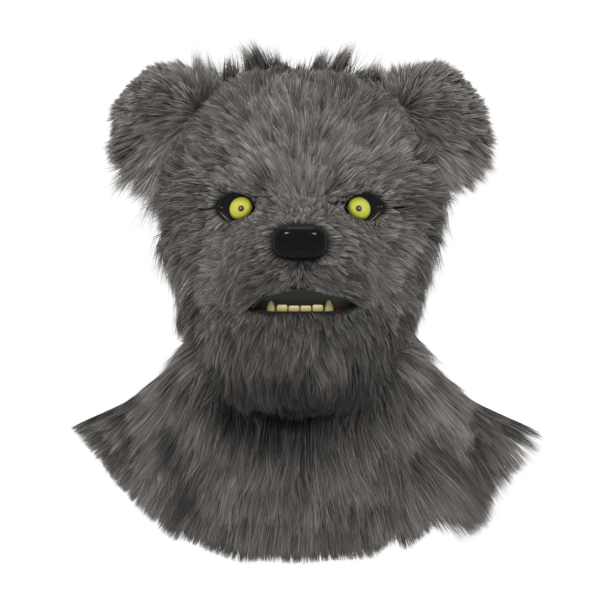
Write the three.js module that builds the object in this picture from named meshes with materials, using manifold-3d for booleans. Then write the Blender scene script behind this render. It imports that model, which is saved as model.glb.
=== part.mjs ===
// A full-head bear mask: a faux fur hood with round ears, yellow eyes in black sockets, a glossy nose,
// an open mouth with lower teeth, and a shoulder cape whose front hangs lowest.
// Millimetres, +Z up. The face looks along -Y. The origin is where the crown of the wearer's head
// touches the inside of the hood.
import * as THREE from "three";
import { mergeVertices } from "three/addons/utils/BufferGeometryUtils.js";
import Module from "manifold-3d";

const wasm = await Module();
wasm.setup();

// Clearance and cloth
const GAP = 0.3; // between pieces that meet
const BACKING = 3; // knitted backing of the fur with its foam
const PILE = 10; // fur lying on the backing
const FACE_PILE = 5; // the same on the face, where the fur is short

// Head form, measured to the outside of the backing from the head's axis
const HEAD_HALF_WIDTH = 103;
const HEAD_FRONT = 99;
const HEAD_BACK = 104;
const NECK_DROP_SIDE = 222; // from the top of the backing to the neck seam
const NECK_DROP_FRONT = 275;
const NECK_DROP_BACK = 226;

// Cape
const CAPE_HALF_WIDTH = 181;
const CAPE_FRONT = 120;
const CAPE_BACK = 112;
const CAPE_LENGTH_SIDE = 70; // from the neck seam down to the hem
const CAPE_LENGTH_FRONT = 119;
const CAPE_LENGTH_BACK = 112;

// Face, with each drop measured down from the origin
const EYE_DROP = 107;
const EYE_SPACING = 98;
const EYE_DIAMETER = 20;
const EYE_DOME = 6;
const PUPIL_DIAMETER = 4.6;
const SOCKET_WIDTH = 38;
const SOCKET_HEIGHT = 27;
const SOCKET_DEPTH = 9;
const SOCKET_RIM = 1.4;
const SNOUT_WIDTH = 150;
const SNOUT_HEIGHT = 118;
const SNOUT_REACH = 55;
const NOSE_DROP = 136;
const NOSE_WIDTH = 46;
const NOSE_HEIGHT = 30;
const NOSE_DEPTH = 16;
const NOSTRIL_WIDTH = 9;
const MOUTH_DROP = 184;
const MOUTH_WIDTH = 106;
const MOUTH_HEIGHT = 19;
const TRAY_DEPTH = 26; // of the lining behind the mouth
const TRAY_WALL = 1.5;
const JAW_WIDTH = 172;
const JAW_HEIGHT = 94;
const JAW_REACH = 47;
const GUM_WIDTH = 74;
const GUM_DEPTH = 15;
const GUM_HEIGHT = 12;
const TOOTH_SETBACK = 4; // behind the lip's inside
const INCISOR_WIDTH = 9.9;
const INCISOR_THICKNESS = 4.6;
const INCISOR_HEIGHT = 12;
const CANINE_WIDTH = 8.4;
const CANINE_THICKNESS = 6;
const CANINE_HEIGHT = 16;

// Ears
const EAR_RADIUS = 43;
const EAR_THICKNESS = 17;
const EAR_CUP = 12; // how far the rim stands forward of the middle
const EAR_SPACING = 222;
const EAR_DROP = 29;
const EAR_SETBACK = 6;
const EAR_TURN = 0.2; // radians outwards

// Locks of fur
const LOCK_SPACING = 48;
const LOCK_LENGTH = 46;
const LOCK_WIDTH = 26;
const LOCK_THICKNESS = 4;
const EAR_LOCK_LENGTH = 13;
const EAR_LOCK_WIDTH = 13;
const HEM_LOCK_LENGTH = 26;
const WISP_LENGTH = 40;
const WISP_WIDTH = 15;

// Numbers that hold for any size
const MERGE_DISTANCE = 1e-4;
const SHOULDER_POINT = 2.6; // how sharply the cape comes to a point over each shoulder
const SQUARENESS = 3; // 2 is an ellipse, more is nearer a rectangle
const MITRE_LIMIT = 0.8;
const GOLDEN_SHARE = 0.618;
const COMB_SWAY = 0.5; // how far neighbouring locks point apart
const FAR = 600; // beyond every piece
const FRONT_COLUMNS = 14;
const BACK_COLUMNS = 6;

// Rings of the head, as shares of the neck drops, HEAD_HALF_WIDTH, HEAD_FRONT and HEAD_BACK
const HEAD_RINGS = [
  { name: "crown", drop: 0, width: 0, front: 0, back: 0 },
  { name: "top", drop: 0.013, width: 0.36, front: 0.34, back: 0.38 },
  { name: "upper", drop: 0.055, width: 0.64, front: 0.61, back: 0.66 },
  { name: "ears", drop: 0.13, width: 0.82, front: 0.8, back: 0.85 },
  { name: "forehead", drop: 0.24, width: 0.92, front: 0.93, back: 0.96 },
  { name: "brow", drop: 0.35, width: 0.97, front: 1, back: 1 },
  { name: "eyes", drop: 0.46, width: 1, front: 1, back: 1 },
  { name: "cheeks", drop: 0.6, width: 0.98, front: 0.97, back: 0.97 },
  { name: "mouth", drop: 0.74, width: 0.95, front: 0.94, back: 0.92 },
  { name: "jaw", drop: 0.88, width: 0.89, front: 0.9, back: 0.86 },
  { name: "neck", drop: 1, width: 0.86, front: 0.86, back: 0.82 },
];

// Rings of the cape, as shares of the way from the neck seam to the hem
const CAPE_RINGS = [
  { name: "collar", drop: 0.18, side: 0.08, front: 0.1, back: 0.12 },
  { name: "slope", drop: 0.42, side: 0.26, front: 0.33, back: 0.36 },
  { name: "shoulder", drop: 0.68, side: 0.5, front: 0.62, back: 0.64 },
  { name: "edge", drop: 0.87, side: 0.78, front: 0.85, back: 0.86 },
  { name: "hem", drop: 1, side: 1, front: 1, back: 1 },
];
const NECK = HEAD_RINGS.length - 1;
const HEM = NECK + CAPE_RINGS.length;
const HALF_RINGS = [5.5, 6.5, 7.5, 8.5]; // extra sections where the face has its relief

// Relief of the face. across and drop place the middle of a mound or dent, halfWidth, above and below
// bound it, out is its height, and flat is the share of it that is a plateau.
const RELIEF = [
  {
    name: "snout",
    across: 0,
    drop: NOSE_DROP + NOSE_HEIGHT * 0.72,
    halfWidth: SNOUT_WIDTH / 2,
    above: SNOUT_HEIGHT * 0.52,
    below: SNOUT_HEIGHT * 0.48,
    out: SNOUT_REACH,
    flat: 0.5,
  },
  {
    name: "jaw",
    across: 0,
    drop: MOUTH_DROP + JAW_HEIGHT * 0.47,
    halfWidth: JAW_WIDTH * 0.45,
    above: JAW_HEIGHT * 0.62,
    below: JAW_HEIGHT * 0.6,
    out: JAW_REACH,
    flat: 0.45,
  },
  ...[-1, 1].flatMap((side) => [
    {
      name: "brow",
      across: side * EYE_SPACING * 0.43,
      drop: EYE_DROP - SOCKET_HEIGHT * 0.85,
      halfWidth: SOCKET_WIDTH * 0.85,
      above: SOCKET_HEIGHT * 0.65,
      below: SOCKET_HEIGHT * 0.5,
      out: EYE_DOME,
      flat: 0.2,
    },
    {
      name: "eye hollow",
      across: side * EYE_SPACING * 0.5,
      drop: EYE_DROP,
      halfWidth: SOCKET_WIDTH * 0.85,
      above: SOCKET_HEIGHT * 0.8,
      below: SOCKET_HEIGHT * 0.9,
      out: -EYE_DOME * 0.7,
      flat: 0.2,
    },
  ]),
];

// Wisps that stand up along the crown seam: where they root and end, as shares of HEAD_HALF_WIDTH from
// the middle, and their rise above the fur and width as shares of WISP_LENGTH and WISP_WIDTH.
const CROWN_WISPS = [
  { name: "far left", root: -0.42, tip: -0.52, rise: 0.2, width: 0.8 },
  { name: "left", root: -0.27, tip: -0.37, rise: 0.42, width: 1 },
  { name: "inner left", root: -0.12, tip: -0.2, rise: 0.28, width: 0.7 },
  { name: "middle", root: 0.0, tip: -0.02, rise: 0.2, width: 0.5 },
  { name: "inner right", root: 0.1, tip: 0.17, rise: 0.28, width: 0.7 },
  { name: "right", root: 0.24, tip: 0.36, rise: 0.42, width: 1 },
  { name: "far right", root: 0.38, tip: 0.5, rise: 0.24, width: 0.8 },
];

// Ragged bites out of the hem over the wearer's left: shares of CAPE_HALF_WIDTH across, and of
// CAPE_LENGTH_FRONT for their width and depth.
const HEM_BITES = [
  { name: "shoulder", across: 0.95, width: 0.14, depth: 0.12 },
  { name: "wide", across: 0.6, width: 0.19, depth: 0.14 },
  { name: "small", across: 0.42, width: 0.11, depth: 0.1 },
];

// Folds that run down the cape: angle from the front in radians, half their width in radians, and their
// depth as a share of CAPE_FRONT, negative for a crease.
const CAPE_FOLDS = [
  { name: "left crease", angle: -0.68, width: 0.13, out: -0.06 },
  { name: "left roll", angle: -0.95, width: 0.2, out: 0.04 },
  { name: "right crease", angle: 0.92, width: 0.14, out: -0.06 },
  { name: "right roll", angle: 0.66, width: 0.2, out: 0.04 },
];

// Mouth slit in the front view: shares of half the MOUTH_WIDTH across and of MOUTH_HEIGHT up
const MOUTH_OUTLINE = [
  { across: -1, up: -0.02 },
  { across: -0.78, up: -0.36 },
  { across: -0.5, up: -0.48 },
  { across: 0.5, up: -0.48 },
  { across: 0.78, up: -0.36 },
  { across: 1, up: -0.02 },
  { across: 0.5, up: 0.26 },
  { across: 0.12, up: 0.5 },
  { across: -0.12, up: 0.5 },
  { across: -0.5, up: 0.26 },
];

// Jaw panel in the front view: shares of half the JAW_WIDTH across and of JAW_HEIGHT down from the mouth
const JAW_OUTLINE = [
  { across: -1, down: 0 },
  { across: -0.95, down: 0.34 },
  { across: -0.76, down: 0.68 },
  { across: -0.42, down: 0.92 },
  { across: 0, down: 1 },
  { across: 0.42, down: 0.92 },
  { across: 0.76, down: 0.68 },
  { across: 0.95, down: 0.34 },
  { across: 1, down: 0 },
];

// Gum in the front view: shares of half the GUM_WIDTH across and of GUM_HEIGHT up from the lip
const GUM_OUTLINE = [
  { across: -1, up: -0.7 },
  { across: -0.7, up: -1 },
  { across: 0.7, up: -1 },
  { across: 1, up: -0.7 },
  { across: 1, up: 0.3 },
  { across: 0.84, up: 0.3 },
  { across: 0.78, up: 0 },
  { across: -0.78, up: 0 },
  { across: -0.84, up: 0.3 },
  { across: -1, up: 0.3 },
];

// Sections of the nose from its seat to its front, as shares of NOSE_DEPTH and its half sizes
const NOSE_SECTIONS = [
  { out: -0.35, width: 0.8, height: 0.8 },
  { out: 0.1, width: 0.97, height: 0.96 },
  { out: 0.5, width: 1, height: 1 },
  { out: 0.82, width: 0.9, height: 0.88 },
  { out: 1, width: 0.58, height: 0.55 },
];

// Sections of the teeth, as shares of their height and of their half sizes
const CANINE_SECTIONS = [
  { up: 0, size: 0.8 },
  { up: 0.45, size: 1 },
  { up: 0.74, size: 0.74 },
  { up: 1, size: 0.14 },
];
const INCISOR_SECTIONS = [
  { up: 0, size: 0.85 },
  { up: 0.6, size: 1 },
  { up: 0.94, size: 0.95 },
  { up: 1, size: 0.78 },
];
const CANINE = { width: CANINE_WIDTH, thickness: CANINE_THICKNESS, height: CANINE_HEIGHT };
const INCISOR = { width: INCISOR_WIDTH - GAP, thickness: INCISOR_THICKNESS, height: INCISOR_HEIGHT };
const CANINE_PLACE = 2 * INCISOR_WIDTH + CANINE_WIDTH / 2;

// Teeth of the lower jaw, left to right as seen from the front. rise is a share of MOUTH_HEIGHT.
const TEETH = [
  { name: "canine_left", x: -CANINE_PLACE, rise: 0.46, form: CANINE, sections: CANINE_SECTIONS },
  { name: "incisor_1", x: -1.5 * INCISOR_WIDTH, rise: 0.31, form: INCISOR, sections: INCISOR_SECTIONS },
  { name: "incisor_2", x: -0.5 * INCISOR_WIDTH, rise: 0.26, form: INCISOR, sections: INCISOR_SECTIONS },
  { name: "incisor_3", x: 0.5 * INCISOR_WIDTH, rise: 0.26, form: INCISOR, sections: INCISOR_SECTIONS },
  { name: "incisor_4", x: 1.5 * INCISOR_WIDTH, rise: 0.31, form: INCISOR, sections: INCISOR_SECTIONS },
  { name: "canine_right", x: CANINE_PLACE, rise: 0.5, form: CANINE, sections: CANINE_SECTIONS },
];

// Rows of locks on an ear, as shares of its radius, with how many would go all the way round
const EAR_LOCK_ROWS = [
  { share: 0.5, count: 6, back: false },
  { share: 0.97, count: 13, back: false },
  { share: 0.6, count: 6, back: true },
];

const vector = (x, y, z) => new THREE.Vector3(x, y, z);
const DOWN = vector(0, 0, -1);
const UP = vector(0, 0, 1);
const SIDES = [-1, 1];
const { clamp, lerp, smoothstep } = THREE.MathUtils;
const signedPower = (value, power) => Math.sign(value) * Math.abs(value) ** power;
const waver = (index) => ((index * GOLDEN_SHARE) % 1) - 0.5;
const joined = (solids) => solids.reduce((sum, solid) => sum.add(solid));

// A solid from corners and triangles, turned inside out where its faces point inwards.
function solidFrom(corners, triangles) {
  const build = (indices) =>
    new wasm.Manifold(new wasm.Mesh({ numProp: 3, vertProperties: corners, triVerts: indices }));
  const solid = build(new Uint32Array(triangles.flat()));
  if (solid.volume() > 0) return solid;
  return build(new Uint32Array(triangles.flatMap(([a, b, c]) => [a, c, b])));
}

// Turns a closed geometry into a solid that can be joined and cut.
function solidOf(geometry) {
  const loose = geometry.index ? geometry.toNonIndexed() : geometry;
  const bare = new THREE.BufferGeometry();
  bare.setAttribute("position", loose.getAttribute("position"));
  const merged = mergeVertices(bare, MERGE_DISTANCE);
  const index = merged.index.array;
  const triangles = [];
  for (let i = 0; i < index.length; i += 3) {
    const [a, b, c] = index.subarray(i, i + 3);
    if (a !== b && b !== c && c !== a) triangles.push([a, b, c]);
  }
  return solidFrom(merged.attributes.position.array, triangles);
}

// Turns a solid back into a geometry, without the crumbs that cuts can leave beside its main body.
function geometryOf(solid) {
  const main = solid.decompose().reduce((big, body) => (body.volume() > big.volume() ? body : big));
  const mesh = main.getMesh();
  const geometry = new THREE.BufferGeometry();
  geometry.setAttribute("position", new THREE.BufferAttribute(mesh.vertProperties, 3));
  geometry.setIndex(new THREE.BufferAttribute(mesh.triVerts, 1));
  geometry.computeVertexNormals();
  return geometry;
}

// A closed solid through rings of equal length. A ring of one point is a pole, and an open end is closed
// by a fan of triangles round its middle. From the strip turnedFrom on, each four-cornered face is split
// along its other diagonal.
function loft(rings, turnedFrom = Infinity) {
  const middle = (ring) => ring.reduce((sum, p) => sum.add(p), vector(0, 0, 0)).divideScalar(ring.length);
  const closed = [...rings];
  if (closed[0].length > 1) closed.unshift([middle(closed[0])]);
  if (closed.at(-1).length > 1) closed.push([middle(closed.at(-1))]);
  const triangles = [];
  let start = 0;
  for (let i = 0; i + 1 < closed.length; i++) {
    const here = closed[i].length;
    const next = closed[i + 1].length;
    const count = Math.max(here, next);
    const nextStart = start + here;
    for (let j = 0; j < count; j++) {
      const k = (j + 1) % count;
      const [a, b, c, d] = [start + j, start + k, nextStart + k, nextStart + j];
      if (here === 1) triangles.push([start, c, d]);
      else if (next === 1) triangles.push([a, b, nextStart]);
      else if (i < turnedFrom) triangles.push([a, b, d], [b, c, d]);
      else triangles.push([a, b, c], [a, c, d]);
    }
    start = nextStart;
  }
  return solidFrom(new Float32Array(closed.flat().flatMap((p) => p.toArray())), triangles);
}

// Heights and reaches of every ring, read at any place between rings
const neckRing = HEAD_RINGS[NECK];
const ringSizes = [
  ...HEAD_RINGS.map((ring) => [
    BACKING - ring.drop * NECK_DROP_SIDE,
    BACKING - ring.drop * NECK_DROP_FRONT,
    BACKING - ring.drop * NECK_DROP_BACK,
    ring.width * HEAD_HALF_WIDTH,
    ring.front * HEAD_FRONT,
    ring.back * HEAD_BACK,
  ]),
  ...CAPE_RINGS.map((ring) => [
    BACKING - NECK_DROP_SIDE - ring.drop * CAPE_LENGTH_SIDE,
    BACKING - NECK_DROP_FRONT - ring.drop * CAPE_LENGTH_FRONT,
    BACKING - NECK_DROP_BACK - ring.drop * CAPE_LENGTH_BACK,
    lerp(neckRing.width * HEAD_HALF_WIDTH, CAPE_HALF_WIDTH, ring.side),
    lerp(neckRing.front * HEAD_FRONT, CAPE_FRONT, ring.front),
    lerp(neckRing.back * HEAD_BACK, CAPE_BACK, ring.back),
  ]),
];
const sizesAt = new THREE.CubicInterpolant(
  ringSizes.map((_, place) => place),
  ringSizes.flat(),
  ringSizes[0].length,
);

// How far the face stands out of the plain head at a place seen from the front.
function relief(x, z) {
  let mounds = 0;
  let dents = 0;
  for (const feature of RELIEF) {
    const along = Math.abs(x - feature.across) / feature.halfWidth;
    const rise = z + feature.drop;
    const level = Math.abs(rise) / (rise > 0 ? feature.above : feature.below);
    const distance = (along ** SQUARENESS + level ** SQUARENESS) ** (1 / SQUARENESS);
    const height = feature.out * (1 - smoothstep(distance, feature.flat, 1));
    if (height > 0) mounds += height ** SQUARENESS;
    else dents += height;
  }
  return mounds ** (1 / SQUARENESS) + dents;
}

// How far the cape stands out of its plain form, full at the hem and nothing at the neck.
function folds(place, angle) {
  const share = smoothstep(place, NECK + 1, HEM);
  const depth = CAPE_FOLDS.reduce(
    (sum, fold) => sum + fold.out * Math.exp(-(((angle - fold.angle) / fold.width) ** 2)),
    0,
  );
  return share * depth;
}

// A point of the outside of the backing, at a ring place and an angle from the front.
function formPoint(place, angle) {
  const [side, front, back, width, reach, rear] = sizesAt.evaluate(place);
  const across = Math.sin(angle);
  const ahead = Math.cos(angle);
  const sideways = Math.abs(across) ** SHOULDER_POINT;
  const fold = 1 + folds(place, angle);
  const x = Math.max(width, 0) * across * fold;
  const z = side * sideways + (ahead > 0 ? front : back) * (1 - sideways);
  const y = -ahead * Math.max(ahead > 0 ? reach : rear, 0) * fold;
  return vector(x, ahead > 0 ? y - relief(x, z) : y, z);
}

// The direction that faces out of the form there.
function outward(place, angle) {
  const step = 0.03;
  if (place < step) return UP.clone();
  const along = formPoint(Math.min(place + step, HEM), angle).sub(formPoint(place - step, angle));
  const around = formPoint(place, angle + step).sub(formPoint(place, angle - step));
  return along.cross(around).normalize();
}

const lifted = (place, angle, lift) => formPoint(place, angle).addScaledVector(outward(place, angle), lift);

// The thickness of the fur that lies on the backing.
function pileAt(place, angle) {
  const faceFront = smoothstep(Math.cos(angle), 0.55, 0.85);
  const faceLevel = smoothstep(place, 2.5, 4) * (1 - smoothstep(place, 8.5, 9.5));
  return lerp(PILE, FACE_PILE, faceFront * faceLevel);
}

// The ring place and angle of a point of the form that is seen from the front.
function placeSeen(x, z) {
  let low = 0;
  let high = HEM;
  let angle = 0;
  for (let i = 0; i < 30; i++) {
    const place = (low + high) / 2;
    angle = Math.asin(clamp(x / Math.max(sizesAt.evaluate(place)[3], 1), -1, 1));
    if (formPoint(place, angle).z > z) low = place;
    else high = place;
  }
  return [low, angle];
}

const columns = [
  ...Array.from({ length: FRONT_COLUMNS }, (_, i) => (i / FRONT_COLUMNS - 0.5) * Math.PI),
  ...Array.from({ length: BACK_COLUMNS }, (_, i) => (i / BACK_COLUMNS + 0.5) * Math.PI),
];
const places = [...ringSizes.map((_, place) => place), ...HALF_RINGS].sort((a, b) => a - b);

// Rings over the form, lifted off it by an amount that may change from place to place.
const liftedRings = (liftAt) =>
  places.map((place) =>
    (place > 0 ? columns : [0]).map((angle) => lifted(place, angle, liftAt(place, angle))),
  );
const shell = (outer, inner) =>
  loft([...liftedRings(outer), ...liftedRings(inner).reverse()], places.length);
const filled = (liftAt) => loft(liftedRings(liftAt));
const evenly = (lift) => () => lift;

// An outline moved outwards by a distance. Its points run anticlockwise as seen from the front.
function grown(outline, distance) {
  const facing = (from, to) => new THREE.Vector2(to.z - from.z, from.x - to.x).normalize();
  return outline.map((point, i) => {
    const before = facing(outline.at(i - 1), point);
    const after = facing(point, outline[(i + 1) % outline.length]);
    const corner = before.clone().add(after).normalize();
    const reach = distance / Math.max(corner.dot(after), MITRE_LIMIT);
    return { x: point.x + corner.x * reach, z: point.z + corner.y * reach };
  });
}

// A block with an outline drawn in the front view, from behind at y = back to far in front of the face.
// Its lower edge falls by an amount on the way.
function frontBlock(outline, back = 0, fall = 0) {
  const shape = new THREE.Shape(outline.map((p) => new THREE.Vector2(p.x, p.z)));
  const geometry = new THREE.ExtrudeGeometry(shape, { depth: FAR, bevelEnabled: false });
  geometry.rotateX(Math.PI / 2).translate(0, back, 0);
  const top = Math.max(...outline.map((p) => p.z));
  const height = top - Math.min(...outline.map((p) => p.z));
  const corners = geometry.attributes.position;
  for (let i = 0; i < corners.count; i++) {
    const share = (top - corners.getZ(i)) / height;
    const ahead = (back - corners.getY(i)) / FAR;
    corners.setZ(i, corners.getZ(i) - fall * share * ahead);
  }
  return solidOf(geometry);
}

// The space that belongs to the jaw panel.
function jawSpace(growth) {
  const outline = JAW_OUTLINE.map((p) => ({
    x: (p.across * JAW_WIDTH) / 2,
    z: -MOUTH_DROP - p.down * JAW_HEIGHT,
  }));
  return frontBlock(grown(outline, growth), -HEAD_FRONT * 0.2, FAR / 4);
}

// The space below the neck seam, which belongs to the cape.
function capeSpace(lift) {
  const inner = HEAD_HALF_WIDTH * 0.6;
  const seam = (radius, fall) =>
    columns.map((angle) => {
      const height = formPoint(NECK, angle).z + lift - fall;
      return vector(radius * Math.sin(angle), -radius * Math.cos(angle), height);
    });
  return loft([seam(inner, 0), seam(HEAD_HALF_WIDTH, 0), seam(FAR, FAR / 3), seam(FAR, FAR * 2)]);
}

const mouthOutline = MOUTH_OUTLINE.map((p) => ({
  x: (p.across * MOUTH_WIDTH) / 2,
  z: -MOUTH_DROP + p.up * MOUTH_HEIGHT,
}));

// The bites out of the hem.
function hemBites() {
  const bites = HEM_BITES.map((bite) => {
    const radius = (bite.width * CAPE_LENGTH_FRONT) / 2;
    const block = new THREE.CylinderGeometry(radius, radius, FAR, 8);
    block.scale(1, 1, (bite.depth * CAPE_LENGTH_FRONT) / radius);
    const hem = formPoint(HEM, Math.asin(bite.across));
    block.translate(hem.x, -FAR / 2, hem.z - PILE / 2);
    return solidOf(block);
  });
  return joined(bites);
}

// One lock of fur: a pointed strip that roots in the fur and lifts off it towards its tip.
function lock(root, normal, comb, length, width, thickness) {
  const flow = comb.clone().addScaledVector(normal, -comb.dot(normal)).normalize();
  const side = normal.clone().cross(flow);
  const at = (along, across, up) =>
    root.clone().addScaledVector(flow, along).addScaledVector(side, across).addScaledVector(normal, up);
  const foot = [at(0, -width / 2, -thickness), at(0, width / 2, -thickness), at(-width / 4, 0, thickness / 2)];
  return loft([foot, [at(length, 0, thickness)]]);
}

// Where the fur is combed: away from the nose over the face, outwards to the sides, and down behind.
const noseFront = vector(0, -HEAD_FRONT - SNOUT_REACH, -NOSE_DROP);
function headComb(point) {
  const behind = smoothstep(point.y, -HEAD_FRONT * 0.2, HEAD_BACK * 0.6);
  return point.clone().sub(noseFront).normalize().lerp(DOWN, behind * 0.9).addScaledVector(DOWN, 0.2);
}

// Locks over a stretch of rings, evenly spaced round each row and set off by half a step in every other.
function lockField(fromPlace, toPlace, combAt, fullLength, keep) {
  const locks = [];
  let place = fromPlace;
  for (let row = 0; place <= toPlace; row++) {
    const around = Math.round((2 * Math.PI * sizesAt.evaluate(place)[3]) / LOCK_SPACING);
    for (let i = 0; i < around; i++) {
      const angle = ((i + (row % 2) / 2) / around) * 2 * Math.PI - Math.PI;
      const root = lifted(place, angle, pileAt(place, angle));
      if (!keep(root)) continue;
      const share = pileAt(place, angle) / PILE;
      const turn = waver(locks.length) * COMB_SWAY;
      const normal = outward(place, angle);
      const comb = combAt(root).clone().applyAxisAngle(normal, turn);
      const length = fullLength * share * (1 + waver(locks.length * 3) * COMB_SWAY);
      locks.push(lock(root, normal, comb, length, LOCK_WIDTH * lerp(1, share, 0.5), LOCK_THICKNESS));
    }
    const slope = formPoint(place, Math.PI / 2).distanceTo(formPoint(place + 0.1, Math.PI / 2)) / 0.1;
    place += LOCK_SPACING / slope;
  }
  return locks;
}

// Wisps along the crown seam.
function crownWisps() {
  return CROWN_WISPS.map((wisp) => {
    const half = (wisp.width * WISP_WIDTH) / 2;
    const foot = lifted(...placeSeen(wisp.root * HEAD_HALF_WIDTH, 0), 0);
    const tip = vector(wisp.tip * HEAD_HALF_WIDTH, foot.y + half, BACKING + PILE + wisp.rise * WISP_LENGTH);
    const corners = [vector(-half, -half, 0), vector(half, -half, 0), vector(0, half, 0)];
    return loft([corners.map((corner) => corner.add(foot)), [tip]]);
  });
}

// The seat of a piece on the face: at its middle, x to the right, y up and z out of the face.
function seatOnFace(x, z, turn) {
  const [place, angle] = placeSeen(x, z);
  const out = vector(0, -1, 0).lerp(outward(place, angle), turn).normalize();
  const right = UP.clone().cross(out).normalize();
  return new THREE.Matrix4()
    .makeBasis(right, out.clone().cross(right), out)
    .setPosition(formPoint(place, angle));
}

// Eye sockets: almonds whose points turn to the ears.
function socketShape(side, growth) {
  const tall = SOCKET_HEIGHT / 2 + growth;
  const tip = side * (SOCKET_WIDTH / 2 + growth);
  const shape = new THREE.Shape();
  shape.moveTo(tip, tall * 0.2);
  shape.quadraticCurveTo(tip * 0.5, tall * 1.25, -tip * 0.1, tall);
  shape.quadraticCurveTo(-tip * 0.7, tall * 0.75, -tip, tall * 0.1);
  shape.quadraticCurveTo(-tip * 0.75, -tall, -tip * 0.15, -tall);
  shape.quadraticCurveTo(tip * 0.5, -tall * 0.8, tip, tall * 0.2);
  return shape;
}
function socketBlock(side, growth, back, front) {
  const extrusion = { depth: front - back, bevelEnabled: false, curveSegments: 3 };
  const geometry = new THREE.ExtrudeGeometry(socketShape(side, growth), extrusion);
  const seat = seatOnFace((side * (EYE_SPACING + SOCKET_WIDTH / 4)) / 2, -EYE_DROP, 0.75);
  return solidOf(geometry.translate(0, 0, back).applyMatrix4(seat));
}

// A turned piece of the eye. Its profile runs from the axis at the back to the axis at the front.
function turnedEyePiece(side, profile, segments) {
  const points = profile.map(([radius, out]) => new THREE.Vector2(radius, out));
  const seat = seatOnFace((side * EYE_SPACING) / 2, -EYE_DROP, 0.6);
  return solidOf(new THREE.LatheGeometry(points, segments).rotateX(Math.PI / 2).applyMatrix4(seat));
}
const eyeShoulder = FACE_PILE * 0.4;
function eyeball(side, growth) {
  const radius = EYE_DIAMETER / 2 + growth;
  const back = eyeShoulder - SOCKET_DEPTH / 2 - growth;
  const dome = [0, 0.35, 0.7, 1].map((share) => [
    share < 1 ? radius * Math.cos((share * Math.PI) / 2) : 0,
    eyeShoulder + growth + EYE_DOME * Math.sin((share * Math.PI) / 2),
  ]);
  return turnedEyePiece(side, [[0, back], [radius, back], ...dome], 14);
}
function pupil(side, growth) {
  const radius = PUPIL_DIAMETER / 2 + growth;
  const front = eyeShoulder + EYE_DOME;
  const back = front - EYE_DOME / 2 - growth;
  const profile = [[0, back], [radius, back], [radius, front - GAP], [radius * 0.7, front + GAP], [0, front + GAP]];
  return turnedEyePiece(side, profile, 8);
}

// Nose: a rounded block, wider above than below.
const noseSeat = seatOnFace(0, -NOSE_DROP, 0.25);
function noseSolid(growth) {
  const corners = 12;
  const rings = NOSE_SECTIONS.map((section) =>
    Array.from({ length: corners }, (_, i) => {
      const turn = (i / corners) * 2 * Math.PI;
      const across = signedPower(Math.cos(turn), 2 / SQUARENESS);
      const up = signedPower(Math.sin(turn), 2 / SQUARENESS);
      const x = across * (0.93 + 0.07 * up) * section.width * (NOSE_WIDTH / 2 + growth);
      const y = up * section.height * (NOSE_HEIGHT / 2 + growth);
      return vector(x, y, section.out * (NOSE_DEPTH + growth)).applyMatrix4(noseSeat);
    }),
  );
  return loft(rings);
}
function nostrils() {
  const dents = SIDES.map((side) => {
    const dent = new THREE.SphereGeometry(NOSTRIL_WIDTH / 2, 8, 6).scale(1, 0.6, 0.7);
    dent.translate(side * NOSE_WIDTH * 0.27, -NOSE_HEIGHT * 0.12, NOSE_DEPTH * 0.97);
    return solidOf(dent.applyMatrix4(noseSeat));
  });
  return joined(dents);
}

// Mouth: a lining tray behind the slit, a gum behind the lower lip, and the teeth that stand in it
const lipHeight = -MOUTH_DROP + MOUTH_HEIGHT * Math.min(...MOUTH_OUTLINE.map((p) => p.up));
const mouthBack = -HEAD_FRONT * 0.65;
const insideAt = (depth) => filled(evenly(-BACKING - GAP - depth));
function mouthTray() {
  const bowl = grown(mouthOutline, GUM_HEIGHT + GAP * 4);
  const block = frontBlock(grown(bowl, TRAY_WALL), mouthBack).subtract(insideAt(TRAY_DEPTH));
  return insideAt(0).intersect(block).subtract(frontBlock(bowl).subtract(insideAt(TRAY_DEPTH - TRAY_WALL)));
}
function toothSolid(tooth, growth) {
  const { width, thickness, height } = tooth.form;
  const [place, angle] = placeSeen(tooth.x, lipHeight);
  const facing = outward(place, angle);
  const depth = BACKING + TOOTH_SETBACK + thickness / 2;
  const seat = new THREE.Matrix4()
    .makeRotationZ(Math.atan2(facing.x, -facing.y))
    .setPosition(tooth.x, formPoint(place, angle).y + depth, lipHeight + tooth.rise * MOUTH_HEIGHT);
  const corners = 8;
  const rings = tooth.sections.map((section) =>
    Array.from({ length: corners }, (_, i) => {
      const turn = ((i + 0.5) / corners) * 2 * Math.PI;
      const x = signedPower(Math.cos(turn), 0.7) * (width * section.size * 0.5 + growth);
      const y = signedPower(Math.sin(turn), 0.7) * (thickness * section.size * 0.5 + growth);
      return vector(x, y, height * (section.up - 1) + growth * (section.up > 0 ? 1 : -1)).applyMatrix4(seat);
    }),
  );
  return loft(rings);
}
function lowerGum() {
  const outline = GUM_OUTLINE.map((p) => ({
    x: (p.across * GUM_WIDTH) / 2,
    z: lipHeight - GAP + p.up * GUM_HEIGHT,
  }));
  return insideAt(0)
    .subtract(insideAt(GUM_DEPTH))
    .intersect(frontBlock(outline, mouthBack))
    .subtract(joined(TEETH.map((tooth) => toothSolid(tooth, GAP))));
}

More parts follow.
